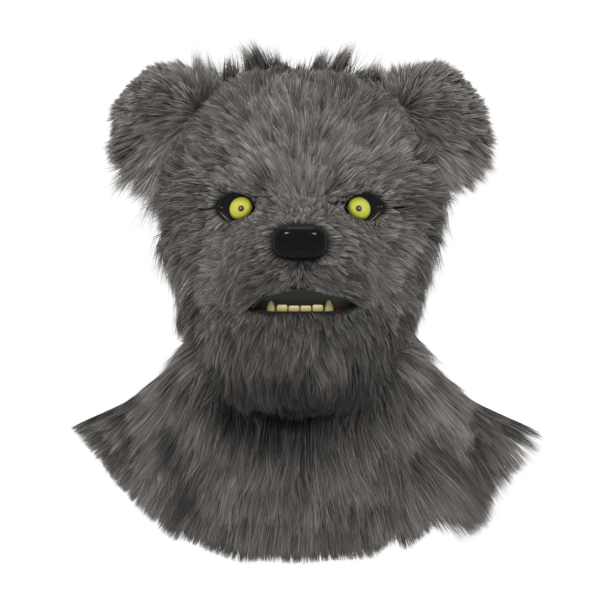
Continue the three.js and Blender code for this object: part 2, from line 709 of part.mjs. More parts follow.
// Ears: round cupped pads with locks that fan out from the head.
const earSeat = (side) =>
  new THREE.Matrix4()
    .makeRotationZ(side * EAR_TURN)
    .setPosition((side * EAR_SPACING) / 2, EAR_SETBACK, -EAR_DROP);
function earPoint(share, turn, back, growth) {
  const radius = (EAR_RADIUS + growth) * share;
  const half = (EAR_THICKNESS / 2 + growth) * Math.sqrt(1 - share ** 4);
  return vector(radius * Math.cos(turn), (back ? half : -half) - EAR_CUP * share ** 2, radius * Math.sin(turn));
}
function earPad(side, growth) {
  const corners = 14;
  const ring = (share, back) =>
    Array.from({ length: share > 0 ? corners : 1 }, (_, i) =>
      earPoint(share, (i / corners) * 2 * Math.PI, back, growth).applyMatrix4(earSeat(side)),
    );
  const behind = [0, 0.45, 0.8, 1].map((share) => ring(share, true));
  const ahead = [0.8, 0.45, 0].map((share) => ring(share, false));
  return loft([...behind, ...ahead]);
}
function earLocks(side, growth) {
  const seat = earSeat(side);
  const base = vector(-side * EAR_RADIUS * 0.7, 0, -EAR_RADIUS * 0.35);
  return EAR_LOCK_ROWS.flatMap(({ share, count, back }) => {
    const turns = Array.from({ length: count }, (_, i) => ((i + 0.5) / count) * 2 * Math.PI);
    const away = turns.filter((turn) => side * Math.cos(turn) > -0.45);
    return away.map((turn) => {
      const root = earPoint(share, turn, back, 0);
      const rim = root.clone().setY(0).normalize();
      const normal = vector(0, back ? 1 : -1, 0).addScaledVector(rim, share).normalize();
      const comb = root.clone().sub(base);
      return lock(
        root.clone().applyMatrix4(seat),
        normal.transformDirection(seat),
        comb.transformDirection(seat),
        EAR_LOCK_LENGTH * (1 + waver(turn * count) * COMB_SWAY) + growth,
        EAR_LOCK_WIDTH + growth * 2,
        LOCK_THICKNESS + growth,
      );
    });
  });
}
const earSolid = (side, growth) => joined([earPad(side, growth), ...earLocks(side, growth)]);

// Cloth: one wall with its openings, parted at the neck seam
const pileAndGap = (place, angle) => pileAt(place, angle) + GAP;
const mouthSlit = frontBlock(mouthOutline, mouthBack);
const socketHoles = joined(SIDES.map((side) => socketBlock(side, GAP, -SOCKET_DEPTH - GAP, PILE * 3)));
const holes = socketHoles.add(noseSolid(GAP)).add(mouthSlit).add(hemBites());
const cloth = shell(evenly(0), evenly(-BACKING)).subtract(holes);
const belowSeam = capeSpace(-GAP / 2);
const belowSeamAndGap = capeSpace(GAP / 2);

// Fur: one pelt over the cloth, parted into head, jaw and cape, with its locks fused on
const pelt = shell(pileAt, evenly(GAP)).subtract(holes);
const covered = filled(evenly(GAP)).add(holes);
const near = (root, side, spacing, drop, width, height) =>
  root.y < HEAD_BACK * 0.3 &&
  Math.hypot((root.x - (side * spacing) / 2) / width, (root.z + drop) / height) < 1;
const isClear = (root) =>
  !near(root, 0, 0, NOSE_DROP, NOSE_WIDTH * 0.8, NOSE_HEIGHT * 0.8) &&
  !near(root, 0, 0, MOUTH_DROP, MOUTH_WIDTH * 0.55, MOUTH_HEIGHT * 0.8) &&
  SIDES.every(
    (side) =>
      !near(root, side, EYE_SPACING, EYE_DROP, SOCKET_WIDTH * 0.9, SOCKET_HEIGHT * 0.8) &&
      !near(root, side, EAR_SPACING, EAR_DROP, EAR_RADIUS, EAR_RADIUS),
  );
const headLocks = lockField(1, NECK, headComb, LOCK_LENGTH, isClear);
const capeLocks = lockField(NECK + 0.5, HEM - 1.3, () => DOWN, LOCK_LENGTH, () => true);
const hemLocks = lockField(HEM - 0.3, HEM - 0.2, () => DOWN, HEM_LOCK_LENGTH, () => true);
const headPelt = pelt.add(joined([...headLocks, ...crownWisps()]).subtract(covered));
const capePelt = pelt.add(joined([...capeLocks, ...hemLocks]).subtract(covered));
const jawAndGap = jawSpace(GAP / 2);
const earHoles = joined(SIDES.map((side) => earSolid(side, GAP)));
const headForm = filled(pileAndGap);

const finish = (color, roughness) => new THREE.MeshStandardMaterial({ color, roughness, metalness: 0 });
const furFinish = finish(0x6e6b67, 0.95);
const clothFinish = finish(0x35332f, 0.95);
const socketFinish = finish(0x0b0c0b, 0.18);
const eyeFinish = finish(0xc6c23c, 0.25);
const pupilFinish = finish(0x1a1a18, 0.2);
const noseFinish = finish(0x0a0b0b, 0.15);
const liningFinish = finish(0x2b2f2b, 0.8);
const gumFinish = finish(0x7c1f22, 0.4);
const toothFinish = finish(0xd8cf86, 0.4);

const mask = new THREE.Group();
function add(name, solid, material) {
  const mesh = new THREE.Mesh(geometryOf(solid), material);
  mesh.name = name;
  mask.add(mesh);
}

add("head_backing", cloth.subtract(belowSeamAndGap), clothFinish);
add("cape_backing", cloth.intersect(belowSeam), clothFinish);
add("head_fur", headPelt.subtract(belowSeamAndGap).subtract(jawAndGap).subtract(earHoles), furFinish);
add("jaw_fur", headPelt.intersect(jawSpace(-GAP / 2)), furFinish);
add("cape_fur", capePelt.intersect(belowSeam).subtract(jawAndGap), furFinish);
["left", "right"].forEach((name, i) => {
  const side = SIDES[i];
  const dish = socketBlock(side, -SOCKET_RIM, FACE_PILE * 0.15, PILE);
  const socket = socketBlock(side, 0, -SOCKET_DEPTH, FACE_PILE * 0.6).subtract(dish);
  add(`ear_${name}`, earSolid(side, 0).subtract(headForm), furFinish);
  add(`eye_socket_${name}`, socket.subtract(eyeball(side, GAP)), socketFinish);
  add(`eye_${name}`, eyeball(side, 0).subtract(pupil(side, GAP)), eyeFinish);
  add(`pupil_${name}`, pupil(side, 0), pupilFinish);
});
add("nose", noseSolid(0).subtract(nostrils()), noseFinish);
add("mouth_lining", mouthTray(), liningFinish);
add("lower_gum", lowerGum(), gumFinish);
for (const tooth of TEETH) add(tooth.name, toothSolid(tooth, 0).intersect(insideAt(0)), toothFinish);

export default mask;
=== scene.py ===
"""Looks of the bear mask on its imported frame: cloth, fur, eyes, nose, mouth and ears.

Sizes are millimetres until a mesh is made, with +Z up and the face looking along -Y. The form repeats
the sizes of the part's own source, so that the fine skin and the strands lie on its solids.
"""

import logging
from collections.abc import Callable
from dataclasses import dataclass, field
from enum import Enum
from typing import NamedTuple

import bpy
import numpy as np
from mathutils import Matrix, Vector
from mathutils.kdtree import KDTree


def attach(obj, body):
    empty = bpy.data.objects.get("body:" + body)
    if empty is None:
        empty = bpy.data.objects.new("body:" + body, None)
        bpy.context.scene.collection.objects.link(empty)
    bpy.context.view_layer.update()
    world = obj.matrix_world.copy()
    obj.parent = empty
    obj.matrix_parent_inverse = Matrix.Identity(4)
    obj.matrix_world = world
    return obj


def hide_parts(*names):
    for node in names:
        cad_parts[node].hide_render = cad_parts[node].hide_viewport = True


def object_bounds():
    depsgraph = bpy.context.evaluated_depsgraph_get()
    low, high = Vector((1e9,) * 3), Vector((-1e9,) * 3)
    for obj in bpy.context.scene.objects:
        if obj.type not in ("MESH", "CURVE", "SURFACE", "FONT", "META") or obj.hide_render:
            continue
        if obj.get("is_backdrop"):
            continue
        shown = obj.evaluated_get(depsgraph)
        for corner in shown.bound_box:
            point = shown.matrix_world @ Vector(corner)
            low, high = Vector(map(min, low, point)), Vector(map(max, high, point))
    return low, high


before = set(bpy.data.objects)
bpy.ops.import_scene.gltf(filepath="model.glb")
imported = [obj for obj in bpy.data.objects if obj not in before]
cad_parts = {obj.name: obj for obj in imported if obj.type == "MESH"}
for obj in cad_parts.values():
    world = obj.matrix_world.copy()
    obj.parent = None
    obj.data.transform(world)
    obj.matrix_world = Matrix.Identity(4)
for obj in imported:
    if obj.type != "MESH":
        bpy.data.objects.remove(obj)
log = logging.getLogger("bear_mask")

Array = np.ndarray
Color = tuple[float, float, float]
MM = 0.001
TAU = 2 * np.pi
DOWN = np.array([0.0, 0.0, -1.0])
FRONT_HALF = -20  # y ahead of which a point lies on the front of the mask
CHEEKS = -40  # y ahead of which a point lies on the cheeks or the muzzle
MUZZLE = -60  # y ahead of which a point lies on the muzzle
FAR_AWAY = 9.0  # distance from eyes and nose of what does not lie on the front
LYING = 0.3  # share of the pile at which strands root and lie
PAINT = "paint"


class Side(Enum):
    """The side of the face, as seen from the front."""

    LEFT = -1
    RIGHT = 1

    @property
    def word(self) -> str:
        """Returns the side's word in the names of pieces."""
        return self.name.lower()


class HeadRing(NamedTuple):
    """A ring of the head, as shares of the neck drops and of the head's sizes."""

    name: str
    drop: float
    width: float
    front: float
    back: float


class CapeRing(NamedTuple):
    """A ring of the cape, as shares of the way from the neck seam to the hem."""

    name: str
    drop: float
    side: float
    front: float
    back: float


class Relief(NamedTuple):
    """A mound or dent of the face, seen from the front."""

    name: str
    across: float
    drop: float
    half_width: float
    above: float
    below: float
    out: float
    flat: float


class Fold(NamedTuple):
    """A fold that runs down the cape: its angle, half width and depth as a share of the reach."""

    name: str
    angle: float
    width: float
    out: float


class Bite(NamedTuple):
    """A ragged bite out of the hem: its place across, half width and depth."""

    name: str
    across: float
    half_width: float
    depth: float


class HemPoint(NamedTuple):
    """A point of the line at which the fur of the cape ends in front."""

    name: str
    across: float
    up: float


class Crease(NamedTuple):
    """A crease of the cape painted dark as shade, seen from the front: its ends, half width and depth of
    shade.
    """

    name: str
    top: tuple[float, float]
    bottom: tuple[float, float]
    half_width: float
    shade: float


HEAD_RINGS = (
    HeadRing("crown", 0, 0, 0, 0),
    HeadRing("top", 0.013, 0.36, 0.34, 0.38),
    HeadRing("upper", 0.055, 0.64, 0.61, 0.66),
    HeadRing("ears", 0.13, 0.82, 0.8, 0.85),
    HeadRing("forehead", 0.24, 0.92, 0.93, 0.96),
    HeadRing("brow", 0.35, 0.97, 1, 1),
    HeadRing("eyes", 0.46, 1, 1, 1),
    HeadRing("cheeks", 0.6, 0.98, 0.97, 0.97),
    HeadRing("mouth", 0.74, 0.95, 0.94, 0.92),
    HeadRing("jaw", 0.88, 0.89, 0.9, 0.86),
    HeadRing("neck", 1, 0.86, 0.86, 0.82),
)
CAPE_RINGS = (
    CapeRing("collar", 0.18, 0.08, 0.1, 0.12),
    CapeRing("slope", 0.42, 0.26, 0.33, 0.36),
    CapeRing("shoulder", 0.68, 0.5, 0.62, 0.64),
    CapeRing("edge", 0.87, 0.78, 0.85, 0.86),
    CapeRing("hem", 1, 1, 1, 1),
)
NECK = len(HEAD_RINGS) - 1
HEM = NECK + len(CAPE_RINGS)
CAPE_FOLDS = (
    Fold("left crease", -0.68, 0.13, -0.06),
    Fold("left roll", -0.95, 0.2, 0.04),
    Fold("right crease", 0.92, 0.14, -0.06),
    Fold("right roll", 0.66, 0.2, 0.04),
)
HEM_BITES = (
    Bite("shoulder", 172, 8, 14),
    Bite("wide", 109, 11, 17),
    Bite("small", 76, 7, 12),
)
HEM_LINE = (  # across and up: where the fur ends below the hem in front
    HemPoint("left tip", -194, -297),
    HemPoint("left shoulder", -173, -316),
    HemPoint("left side", -153, -342),
    HemPoint("left turn", -132, -365),
    HemPoint("left front", -102, -388),
    HemPoint("left middle", -51, -404),
    HemPoint("middle", 0, -405),
    HemPoint("right middle", 60, -401),
    HemPoint("small bite", 73, -391),
    HemPoint("small lobe", 91, -394),
    HemPoint("wide bite", 110, -380),
    HemPoint("wide lobe", 124, -395),
    HemPoint("right front", 145, -383),
    HemPoint("right turn", 163, -362),
    HemPoint("shoulder bite", 177, -338),
    HemPoint("shoulder lobe", 190, -331),
    HemPoint("right tip", 202, -314),
)
# painted shade along the folds of the cape
CREASES = (
    Crease("left fold", (-95, -274), (-88, -338), 10, 0.7),
    Crease("right fold", (88, -262), (112, -325), 8, 0.38),
    Crease("chin fold", (30, -312), (80, -296), 5, 0.4),
)


def hem_height(x: Array) -> Array:
    """Returns how low the fur hangs in front there."""
    return np.interp(x, [point.across for point in HEM_LINE], [point.up for point in HEM_LINE])


def between(table: tuple[tuple[float, float], ...], value: Array) -> Array:
    """Returns what a table of pairs gives at these values, also between its rows."""
    return np.interp(value, [row[0] for row in table], [row[1] for row in table])


def smooth(value: Array, low: float, high: float) -> Array:
    """Returns a smooth step from 0 at low to 1 at high."""
    share = np.clip((value - low) / (high - low), 0, 1)
    return share * share * (3 - 2 * share)


def blend(first: Array, second: Array, share: Array) -> Array:
    """Returns the mix of two values, all of the second where share is 1."""
    return first + (second - first) * share


def unit(vectors: Array) -> Array:
    """Returns the vectors at length 1."""
    return vectors / np.maximum(np.linalg.norm(vectors, axis=-1, keepdims=True), 1e-9)


def signed_power(value: Array, power: float) -> Array:
    """Returns the value's size raised to a power, with its sign kept."""
    return np.sign(value) * np.abs(value) ** power


def band(value: Array, rise: tuple[float, float], fall: tuple[float, float]) -> Array:
    """Returns 1 between a rise and a fall, and 0 outside them."""
    return smooth(value, *rise) * (1 - smooth(value, *fall))


def mix(first: Color, second: Color, share: Array) -> Array:
    """Returns one mix of two colours for each share."""
    return blend(np.array(first), np.array(second), share[:, None])


def turns(count: int) -> Array:
    """Returns equal steps of a full turn, in radians."""
    return np.arange(count) / count * TAU


def corners_of(piece: bpy.types.Object) -> Array:
    """Returns the corners of a mesh in millimetres, one a row."""
    return np.array([vertex.co for vertex in piece.data.vertices]) / MM


def turned(vectors: Array, axes: Array, angles: Array) -> Array:
    """Turns vectors that lie square to their axes.

    Args:
        vectors: The vectors, each square to its axis.
        axes: Unit vectors to turn about.
        angles: Radians.

    Returns:
        The turned vectors.
    """
    return vectors * np.cos(angles)[:, None] + np.cross(axes, vectors) * np.sin(angles)[:, None]


@dataclass(frozen=True)
class Seat:
    """Where a piece sits: its middle, and its right, up and out directions as rows."""

    middle: Array
    axes: Array

    def place(self, points: Array) -> Array:
        """Returns points given as right, up and out in the frame of the part."""
        return self.middle + points @ self.axes

    def local(self, piece: bpy.types.Object) -> Array:
        """Returns the corners of a piece as right, up and out."""
        return (corners_of(piece) - self.middle) @ self.axes.T


@dataclass
class Form:
    """The form of head and cape, to the outside of the backing."""

    half_width: float = 103
    front: float = 99
    back: float = 104
    neck_drop: tuple[float, float, float] = (222, 275, 226)  # side, front and back
    cape_half_width: float = 181
    cape_front: float = 120
    cape_back: float = 112
    cape_length: tuple[float, float, float] = (70, 119, 112)
    backing: float = 3
    pile: float = 10
    face_pile: float = 5
    squareness: float = 3
    shoulder_point: float = 2.6
    eye_drop: float = 107
    eye_spacing: float = 98
    eye_dome: float = 6
    socket_width: float = 38
    socket_height: float = 27
    nose_drop: float = 136
    nose_height: float = 30
    snout_reach: float = 55
    snout_half_width: float = 75
    snout_height: float = 118
    mouth_drop: float = 184
    mouth_width: float = 106
    mouth_height: float = 19
    jaw_width: float = 172
    jaw_height: float = 94
    jaw_reach: float = 47
    hem_gap: float = 13  # millimetres between the last two rings of the cape
    table: Array = field(init=False)

    def __post_init__(self) -> None:
        """Works out the sizes of every ring, with one more at each end for the curve through them."""
        neck = HEAD_RINGS[NECK]
        rows = [
            [self.backing - ring.drop * drop for drop in self.neck_drop]
            + [ring.width * self.half_width, ring.front * self.front, ring.back * self.back]
            for ring in HEAD_RINGS
        ]
        for ring in CAPE_RINGS:
            pairs = zip(self.neck_drop, self.cape_length)
            heights = [self.backing - drop - ring.drop * length for drop, length in pairs]
            width = blend(neck.width * self.half_width, self.cape_half_width, ring.side)
            reach = blend(neck.front * self.front, self.cape_front, ring.front)
            rear = blend(neck.back * self.back, self.cape_back, ring.back)
            rows.append([*heights, width, reach, rear])
        rings = np.array(rows, float)
        self.table = np.vstack([2 * rings[0] - rings[1], rings, 2 * rings[-1] - rings[-2]])

    @property
    def reliefs(self) -> list[Relief]:
        """Returns the mounds and dents of the face."""
        wide, tall = self.socket_width * 0.85, self.socket_height
        snout_drop = self.nose_drop + self.nose_height * 0.72
        jaw_drop = self.mouth_drop + self.jaw_height * 0.47
        jaw_half, jaw_tall = self.jaw_width * 0.45, self.jaw_height
        above, below = self.snout_height * 0.52, self.snout_height * 0.48
        found = [
            Relief("snout", 0, snout_drop, self.snout_half_width, above, below, self.snout_reach, 0.5),
            Relief("jaw", 0, jaw_drop, jaw_half, jaw_tall * 0.62, jaw_tall * 0.6, self.jaw_reach, 0.45),
        ]
        for side in Side:
            brow = side.value * self.eye_spacing * 0.43
            eye = side.value * self.eye_spacing * 0.5
            level = self.eye_drop - tall * 0.85
            found.append(Relief("brow", brow, level, wide, tall * 0.65, tall * 0.5, self.eye_dome, 0.2))
            depth = -self.eye_dome * 0.7
            found.append(Relief("hollow", eye, self.eye_drop, wide, tall * 0.8, tall * 0.9, depth, 0.2))
        return found

    def sizes(self, place: Array) -> Array:
        """Returns side, front and back height, width, front and back reach at places between rings.

        Args:
            place: Ring places.

        Returns:
            One row of six sizes a place.
        """
        index = np.clip(np.floor(place).astype(int), 0, HEM - 1)
        t = (place - index)[:, None]
        before, here, after, beyond = (self.table[index + step] for step in range(4))
        cubic = 3 * (here - after) + beyond - before
        square = 2 * before - 5 * here + 4 * after - beyond + t * cubic
        return here + 0.5 * t * (after - before + t * square)

    def relief(self, x: Array, z: Array) -> Array:
        """Returns how far the face stands out of the plain head there.

        Args:
            x: Places across.
            z: Heights.

        Returns:
            One distance a point, below 0 in the hollows.
        """
        mounds = np.zeros_like(x)
        dents = np.zeros_like(x)
        for part in self.reliefs:
            rise = z + part.drop
            level = np.abs(rise) / np.where(rise > 0, part.above, part.below)
            along = np.abs(x - part.across) / part.half_width
            distance = (along**self.squareness + level**self.squareness) ** (1 / self.squareness)
            height = part.out * (1 - smooth(distance, part.flat, 1))
            mounds += np.where(height > 0, height, 0) ** self.squareness
            dents += np.where(height < 0, height, 0)
        return mounds ** (1 / self.squareness) + dents

    def point(self, place: Array, angle: Array) -> Array:
        """Returns points of the outside of the backing.

        Args:
            place: Ring places, whole numbers on the rings.
            angle: Radians from the front, positive to the right of the picture.

        Returns:
            One point a row.
        """
        side, front, back, width, reach, rear = self.sizes(place).T
        across, ahead = np.sin(angle), np.cos(angle)
        sideways = np.abs(across) ** self.shoulder_point
        depth = sum(f.out * np.exp(-(((angle - f.angle) / f.width) ** 2)) for f in CAPE_FOLDS)
        fold = 1 + smooth(place, NECK + 1, HEM) * depth
        x = np.maximum(width, 0) * across * fold
        z = side * sideways + np.where(ahead > 0, front, back) * (1 - sideways)
        y = -ahead * np.maximum(np.where(ahead > 0, reach, rear), 0) * fold
        return np.stack([x, np.where(ahead > 0, y - self.relief(x, z), y), z], axis=1)

    def normal(self, place: Array, angle: Array) -> Array:
        """Returns the directions that face out of the form.

        Args:
            place: Ring places.
            angle: Radians from the front.

        Returns:
            One unit vector a row.
        """
        step = 0.03
        along = self.point(np.minimum(place + step, HEM), angle)
        along = along - self.point(np.maximum(place - step, 0), angle)
        around = self.point(place, angle + step) - self.point(place, angle - step)
        out = unit(np.cross(along, around))
        out[place < step] = -DOWN
        return out

    def lifted(self, place: Array, angle: Array, lift: Array | float) -> Array:
        """Returns points lifted off the backing."""
        return self.point(place, angle) + self.normal(place, angle) * np.reshape(lift, (-1, 1))

    def step(self, place: Array, angle: Array, move: Array) -> tuple[Array, Array]:
        """Moves over the form.

        Args:
            place: Ring places.
            angle: Radians from the front.
            move: How far to move, one vector a row.

        Returns:
            The new places and angles.
        """
        small = 0.02
        low, high = np.maximum(place - small, 0), np.minimum(place + small, HEM)
        along = (self.point(high, angle) - self.point(low, angle)) / (high - low)[:, None]
        around = (self.point(place, angle + small) - self.point(place, angle - small)) / (2 * small)
        aa, bb, ab = (along**2).sum(axis=1), (around**2).sum(axis=1), (along * around).sum(axis=1)
        av, bv = (along * move).sum(axis=1), (around * move).sum(axis=1)
        scale = np.maximum(aa * bb - ab**2, 0.02 * aa * bb + 1e-6)
        down = np.clip((av * bb - bv * ab) / scale, -2, 2)
        turn = np.clip((bv * aa - av * ab) / scale, -0.7, 0.7)
        return np.clip(place + down, 0.3, HEM), angle + turn

    def face_share(self, place: Array, angle: Array) -> Array:
        """Returns 1 on the face, where the fur is short, and 0 away from it."""
        level = smooth(place, 2.5, 4) * (1 - smooth(place, 8.5, 9.5))
        return smooth(np.cos(angle), 0.55, 0.85) * level

    def pile_at(self, place: Array, angle: Array) -> Array:
        """Returns the thickness of the fur that lies on the backing."""
        return blend(self.pile, self.face_pile, self.face_share(place, angle))

    def seen(self, x: Array, z: Array) -> tuple[Array, Array]:
        """Returns the places and angles of points seen from the front.

        Args:
            x: Places across.
            z: Heights.

        Returns:
            Ring places, and radians from the front.
        """
        low = np.zeros_like(x)
        high = np.full_like(x, HEM)
        angle = np.zeros_like(x)
        for _ in range(30):
            place = (low + high) / 2
            width = np.maximum(self.sizes(place)[:, 3], 1)
            angle = np.arcsin(np.clip(x / width, -1, 1))
            above = self.point(place, angle)[:, 2] > z
            low, high = np.where(above, place, low), np.where(above, high, place)
        return low, angle

    def surface(self, x: Array, z: Array) -> Array:
        """Returns the points of the form seen from the front there."""
        return self.point(*self.seen(x, z))

    def seat(self, x: float, z: float, turn: float) -> Seat:
        """Returns the seat of a piece on the face, turned by a share from straight ahead to square on.

        Args:
            x: Its place across.
            z: Its height.
            turn: 0 looks straight ahead and 1 square off the face.

        Returns:
            The seat.
        """
        place, angle = self.seen(np.array([float(x)]), np.array([float(z)]))
        ahead = np.array([0.0, -1.0, 0.0])
        out = unit(blend(ahead, self.normal(place, angle)[0], turn))
        right = unit(np.cross(-DOWN, out))
        return Seat(self.point(place, angle)[0], np.array([right, np.cross(out, right), out]))

    def mouth_edge(self, x: Array, upper: bool) -> Array:
        """Returns the height of the upper or lower lip across the mouth.

        Args:
            x: Places across.
            upper: Whether it is the upper lip.

        Returns:
            One height a place.
        """
        across = np.abs(x) / (self.mouth_width / 2)
        up = np.interp(across, [0, 0.12, 0.5, 1], [0.5, 0.5, 0.26, -0.02])
        down = np.interp(across, [0, 0.5, 0.78, 1], [-0.48, -0.48, -0.36, -0.02])
        return -self.mouth_drop + (up if upper else down) * self.mouth_height

    def in_jaw(self, points: Array) -> Array:
        """Returns which points lie on the jaw panel.

        Args:
            points: Points on the form.

        Returns:
            One flag a point.
        """
        down = (-points[:, 2] - self.mouth_drop) / self.jaw_height
        across = np.interp(down, [0, 0.34, 0.68, 0.92, 1.02], [1, 0.95, 0.76, 0.42, 0])
        inside = np.abs(points[:, 0]) < across * self.jaw_width / 2
        return inside & (down > 0) & (points[:, 1] < -self.front * 0.2)

    def bite(self, x: Array) -> Array:
        """Returns how many rings the hem is bitten away by there.

        Args:
            x: Places across.

        Returns:
            One number of rings a place.
        """
        cut = np.zeros_like(x)
        for part in HEM_BITES:
            share = np.clip(1 - ((x - part.across) / part.half_width) ** 2, 0, 1)
            cut = np.maximum(cut, part.depth * np.sqrt(share))
        return cut / self.hem_gap


class Bump(Enum):
    """The fine relief of a finish."""

    NONE = "none"
    KNIT = "knit"
    GRAIN = "grain"


@dataclass(frozen=True)
class Finish:
    """A surface: its colour, how it shines and its fine relief."""

    name: str
    slot: str
    color: Color | None  # None takes the colours painted on the mesh
    roughness: float
    specular: float = 0.5
    coat: float = 0
    bump: Bump = Bump.NONE
    coat_roughness: float = 0.06

    def material(self) -> bpy.types.Material:
        """Returns the finish's material, which is made once."""
        found = bpy.data.materials.get(self.name)
        if found:
            return found
        material = bpy.data.materials.new(self.name)
        material.use_nodes = True
        nodes, links = material.node_tree.nodes, material.node_tree.links
        shader = nodes["Principled BSDF"]
        shader.inputs["Roughness"].default_value = self.roughness
        shader.inputs["Specular IOR Level"].default_value = self.specular
        shader.inputs["Coat Weight"].default_value = self.coat
        shader.inputs["Coat Roughness"].default_value = self.coat_roughness
        if self.color is None:
            paint = nodes.new("ShaderNodeVertexColor")
            paint.layer_name = PAINT
            links.new(paint.outputs["Color"], shader.inputs["Base Color"])
        else:
            shader.inputs["Base Color"].default_value = (*self.color, 1)
            material.diffuse_color = (*self.color, 1)
        if self.bump is not Bump.NONE:
            self.roughen(material, shader)
        return material

    def roughen(self, material: bpy.types.Material, shader: bpy.types.Node) -> None:
        """Adds the fine relief to the shader.

        Args:
            material: The material to change.
            shader: Its surface shader.
        """
        nodes, links = material.node_tree.nodes, material.node_tree.links
        place = nodes.new("ShaderNodeTexCoord")
        bump = nodes.new("ShaderNodeBump")
        if self.bump is Bump.KNIT:
            pattern = nodes.new("ShaderNodeTexWave")
            pattern.bands_direction = "Z"
            pattern.inputs["Scale"].default_value = 160
            pattern.inputs["Distortion"].default_value = 3
            pattern.inputs["Detail Scale"].default_value = 6
            bump.inputs["Distance"].default_value = 0.0006
        else:
            pattern = nodes.new("ShaderNodeTexNoise")
            pattern.inputs["Scale"].default_value = 420
            bump.inputs["Distance"].default_value = 0.0002
        links.new(place.outputs["Object"], pattern.inputs["Vector"])
        links.new(pattern.outputs[0], bump.inputs["Height"])
        links.new(bump.outputs["Normal"], shader.inputs["Normal"])


FUR = Finish("grey fur", "grey_fur", None, 0.6, 0.25)
# the dark base under the fur: partly the roots' colour and partly painted shade deep in the pile, darker
# than the knit
PELT_BASE_AND_SHADE = Finish("dark roots and painted shade of the pile", "grey_fur", (0.012, 0.0115, 0.011), 0.9, 0.1)
KNIT = Finish("knitted backing", "backing_cloth", (0.03, 0.029, 0.027), 0.9, 0.2, bump=Bump.KNIT)
LINING = Finish("mouth cloth", "mouth_cloth", (0.1, 0.11, 0.092), 0.9, 0.2)
SOCKET = Finish("black gloss with a pale lid", "black_gloss", None, 0.2, 0.12)
NOSE = Finish("black gloss of the nose", "black_gloss", (0.002, 0.0022, 0.0022), 0.14, 0.11)
EYE = Finish("yellow eye", "yellow_eye", None, 0.3, 0.2)
PUPIL = Finish("pupil", "black_gloss", None, 0.3, 0.2)
GUM = Finish("red gum", "red_gum", None, 0.3, 0.4, coat=0.1, bump=Bump.GRAIN)
TOOTH = Finish("ivory tooth", "tooth_ivory", None, 0.35, 0.35, coat=0.05)
SOCKET_BLACK = (0.004, 0.0045, 0.0045)
LID_GREY = (0.13, 0.13, 0.1)
EYE_LIME = (0.46, 0.455, 0.05)
EYE_SHADE_OLIVE = (0.14, 0.13, 0.014)
EYE_PALE = (0.54, 0.54, 0.24)
PUPIL_BLACK = (0.008, 0.009, 0.006)
PUPIL_GLINT_GREY = (0.16, 0.17, 0.13)
GUM_DARK = (0.1, 0.01, 0.012)
GUM_RED = (0.28, 0.03, 0.036)
TOOTH_FOOT = (0.3, 0.2, 0.06)
TOOTH_IVORY = (0.6, 0.56, 0.27)


def put(name: str, corners: Array, loops: Array, counts: Array, finish: Finish) -> bpy.types.Object:
    """Makes a mesh that rides on the part.

    Args:
        name: The piece's name.
        corners: Points in millimetres, one a row.
        loops: The corners of every face in turn.
        counts: How many corners each face has.
        finish: Its surface.

    Returns:
        The new object.
    """
    mesh = bpy.data.meshes.new(name)
    mesh.vertices.add(len(corners))
    mesh.vertices.foreach_set("co", (corners * MM).astype(np.float32).ravel())
    mesh.loops.add(len(loops))
    mesh.loops.foreach_set("vertex_index", loops.astype(np.int32))
    mesh.polygons.add(len(counts))
    starts = np.concatenate([[0], np.cumsum(counts)[:-1]])
    mesh.polygons.foreach_set("loop_start", starts.astype(np.int32))
    mesh.polygons.foreach_set("use_smooth", np.ones(len(counts), bool))
    mesh.materials.append(finish.material())
    mesh.update(calc_edges=True)
    mesh.validate()
    piece = bpy.data.objects.new(name, mesh)
    bpy.context.scene.collection.objects.link(piece)
    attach(piece, "root")
    return piece


def paint(piece: bpy.types.Object, colors: Array) -> None:
    """Paints a mesh with one colour a corner.

    Args:
        piece: The mesh.
        colors: One colour a corner.
    """
    layer = piece.data.color_attributes.new(PAINT, "FLOAT_COLOR", "POINT")
    full = np.concatenate([colors, np.ones((len(colors), 1))], axis=1)
    layer.data.foreach_set("color", full.astype(np.float32).ravel())


def loft(rings: list[Array], wrap: bool = False) -> tuple[Array, Array, Array]:
    """Joins rings of equal length into a closed skin.

    Args:
        rings: The rings in order. A ring of one point is a pole, and an open end is closed by a fan.
        wrap: Whether the last ring joins the first.

    Returns:
        Corners, the corners of every face in turn, and how many each face has.
    """
    if not wrap:
        if len(rings[0]) > 1:
            rings = [rings[0].mean(axis=0, keepdims=True), *rings]
        if len(rings[-1]) > 1:
            rings = [*rings, rings[-1].mean(axis=0, keepdims=True)]
    starts = np.concatenate([[0], np.cumsum([len(ring) for ring in rings])])
    corners = np.vstack(rings)
    volume = 0.0
    loops: list[Array] = []
    counts: list[Array] = []
    pairs = [(i, i + 1) for i in range(len(rings) - 1)] + ([(len(rings) - 1, 0)] if wrap else [])
    for here, there in pairs:
        size = max(len(rings[here]), len(rings[there]))
        j = np.arange(size)
        k = (j + 1) % size
        first, second = starts[here], starts[there]
        if len(rings[here]) == 1:
            faces = np.stack([np.full(size, first), second + k, second + j], axis=1)
        elif len(rings[there]) == 1:
            faces = np.stack([first + j, first + k, np.full(size, second)], axis=1)
        else:
            faces = np.stack([first + j, first + k, second + k, second + j], axis=1)
        for last in range(2, faces.shape[1]):
            a, b, c = corners[faces[:, 0]], corners[faces[:, last - 1]], corners[faces[:, last]]
            volume += float((a * np.cross(b, c)).sum())
        loops.append(faces)
        counts.append(np.full(size, faces.shape[1]))
    if volume < 0:
        loops = [faces[:, ::-1] for faces in loops]
    return corners, np.concatenate([faces.ravel() for faces in loops]), np.concatenate(counts)


@dataclass
class Roots:
    """Where strands root, with how each one faces, flows, how long it is, how it lifts and its tone."""

    points: Array
    normals: Array
    flows: Array
    lengths: Array
    lifts: Array
    tones: Array


Walk = Callable[[Roots, Array], tuple[Array, Array]]
Flow = Callable[[Array], Array]
Keep = Callable[[Array, Array], Array]


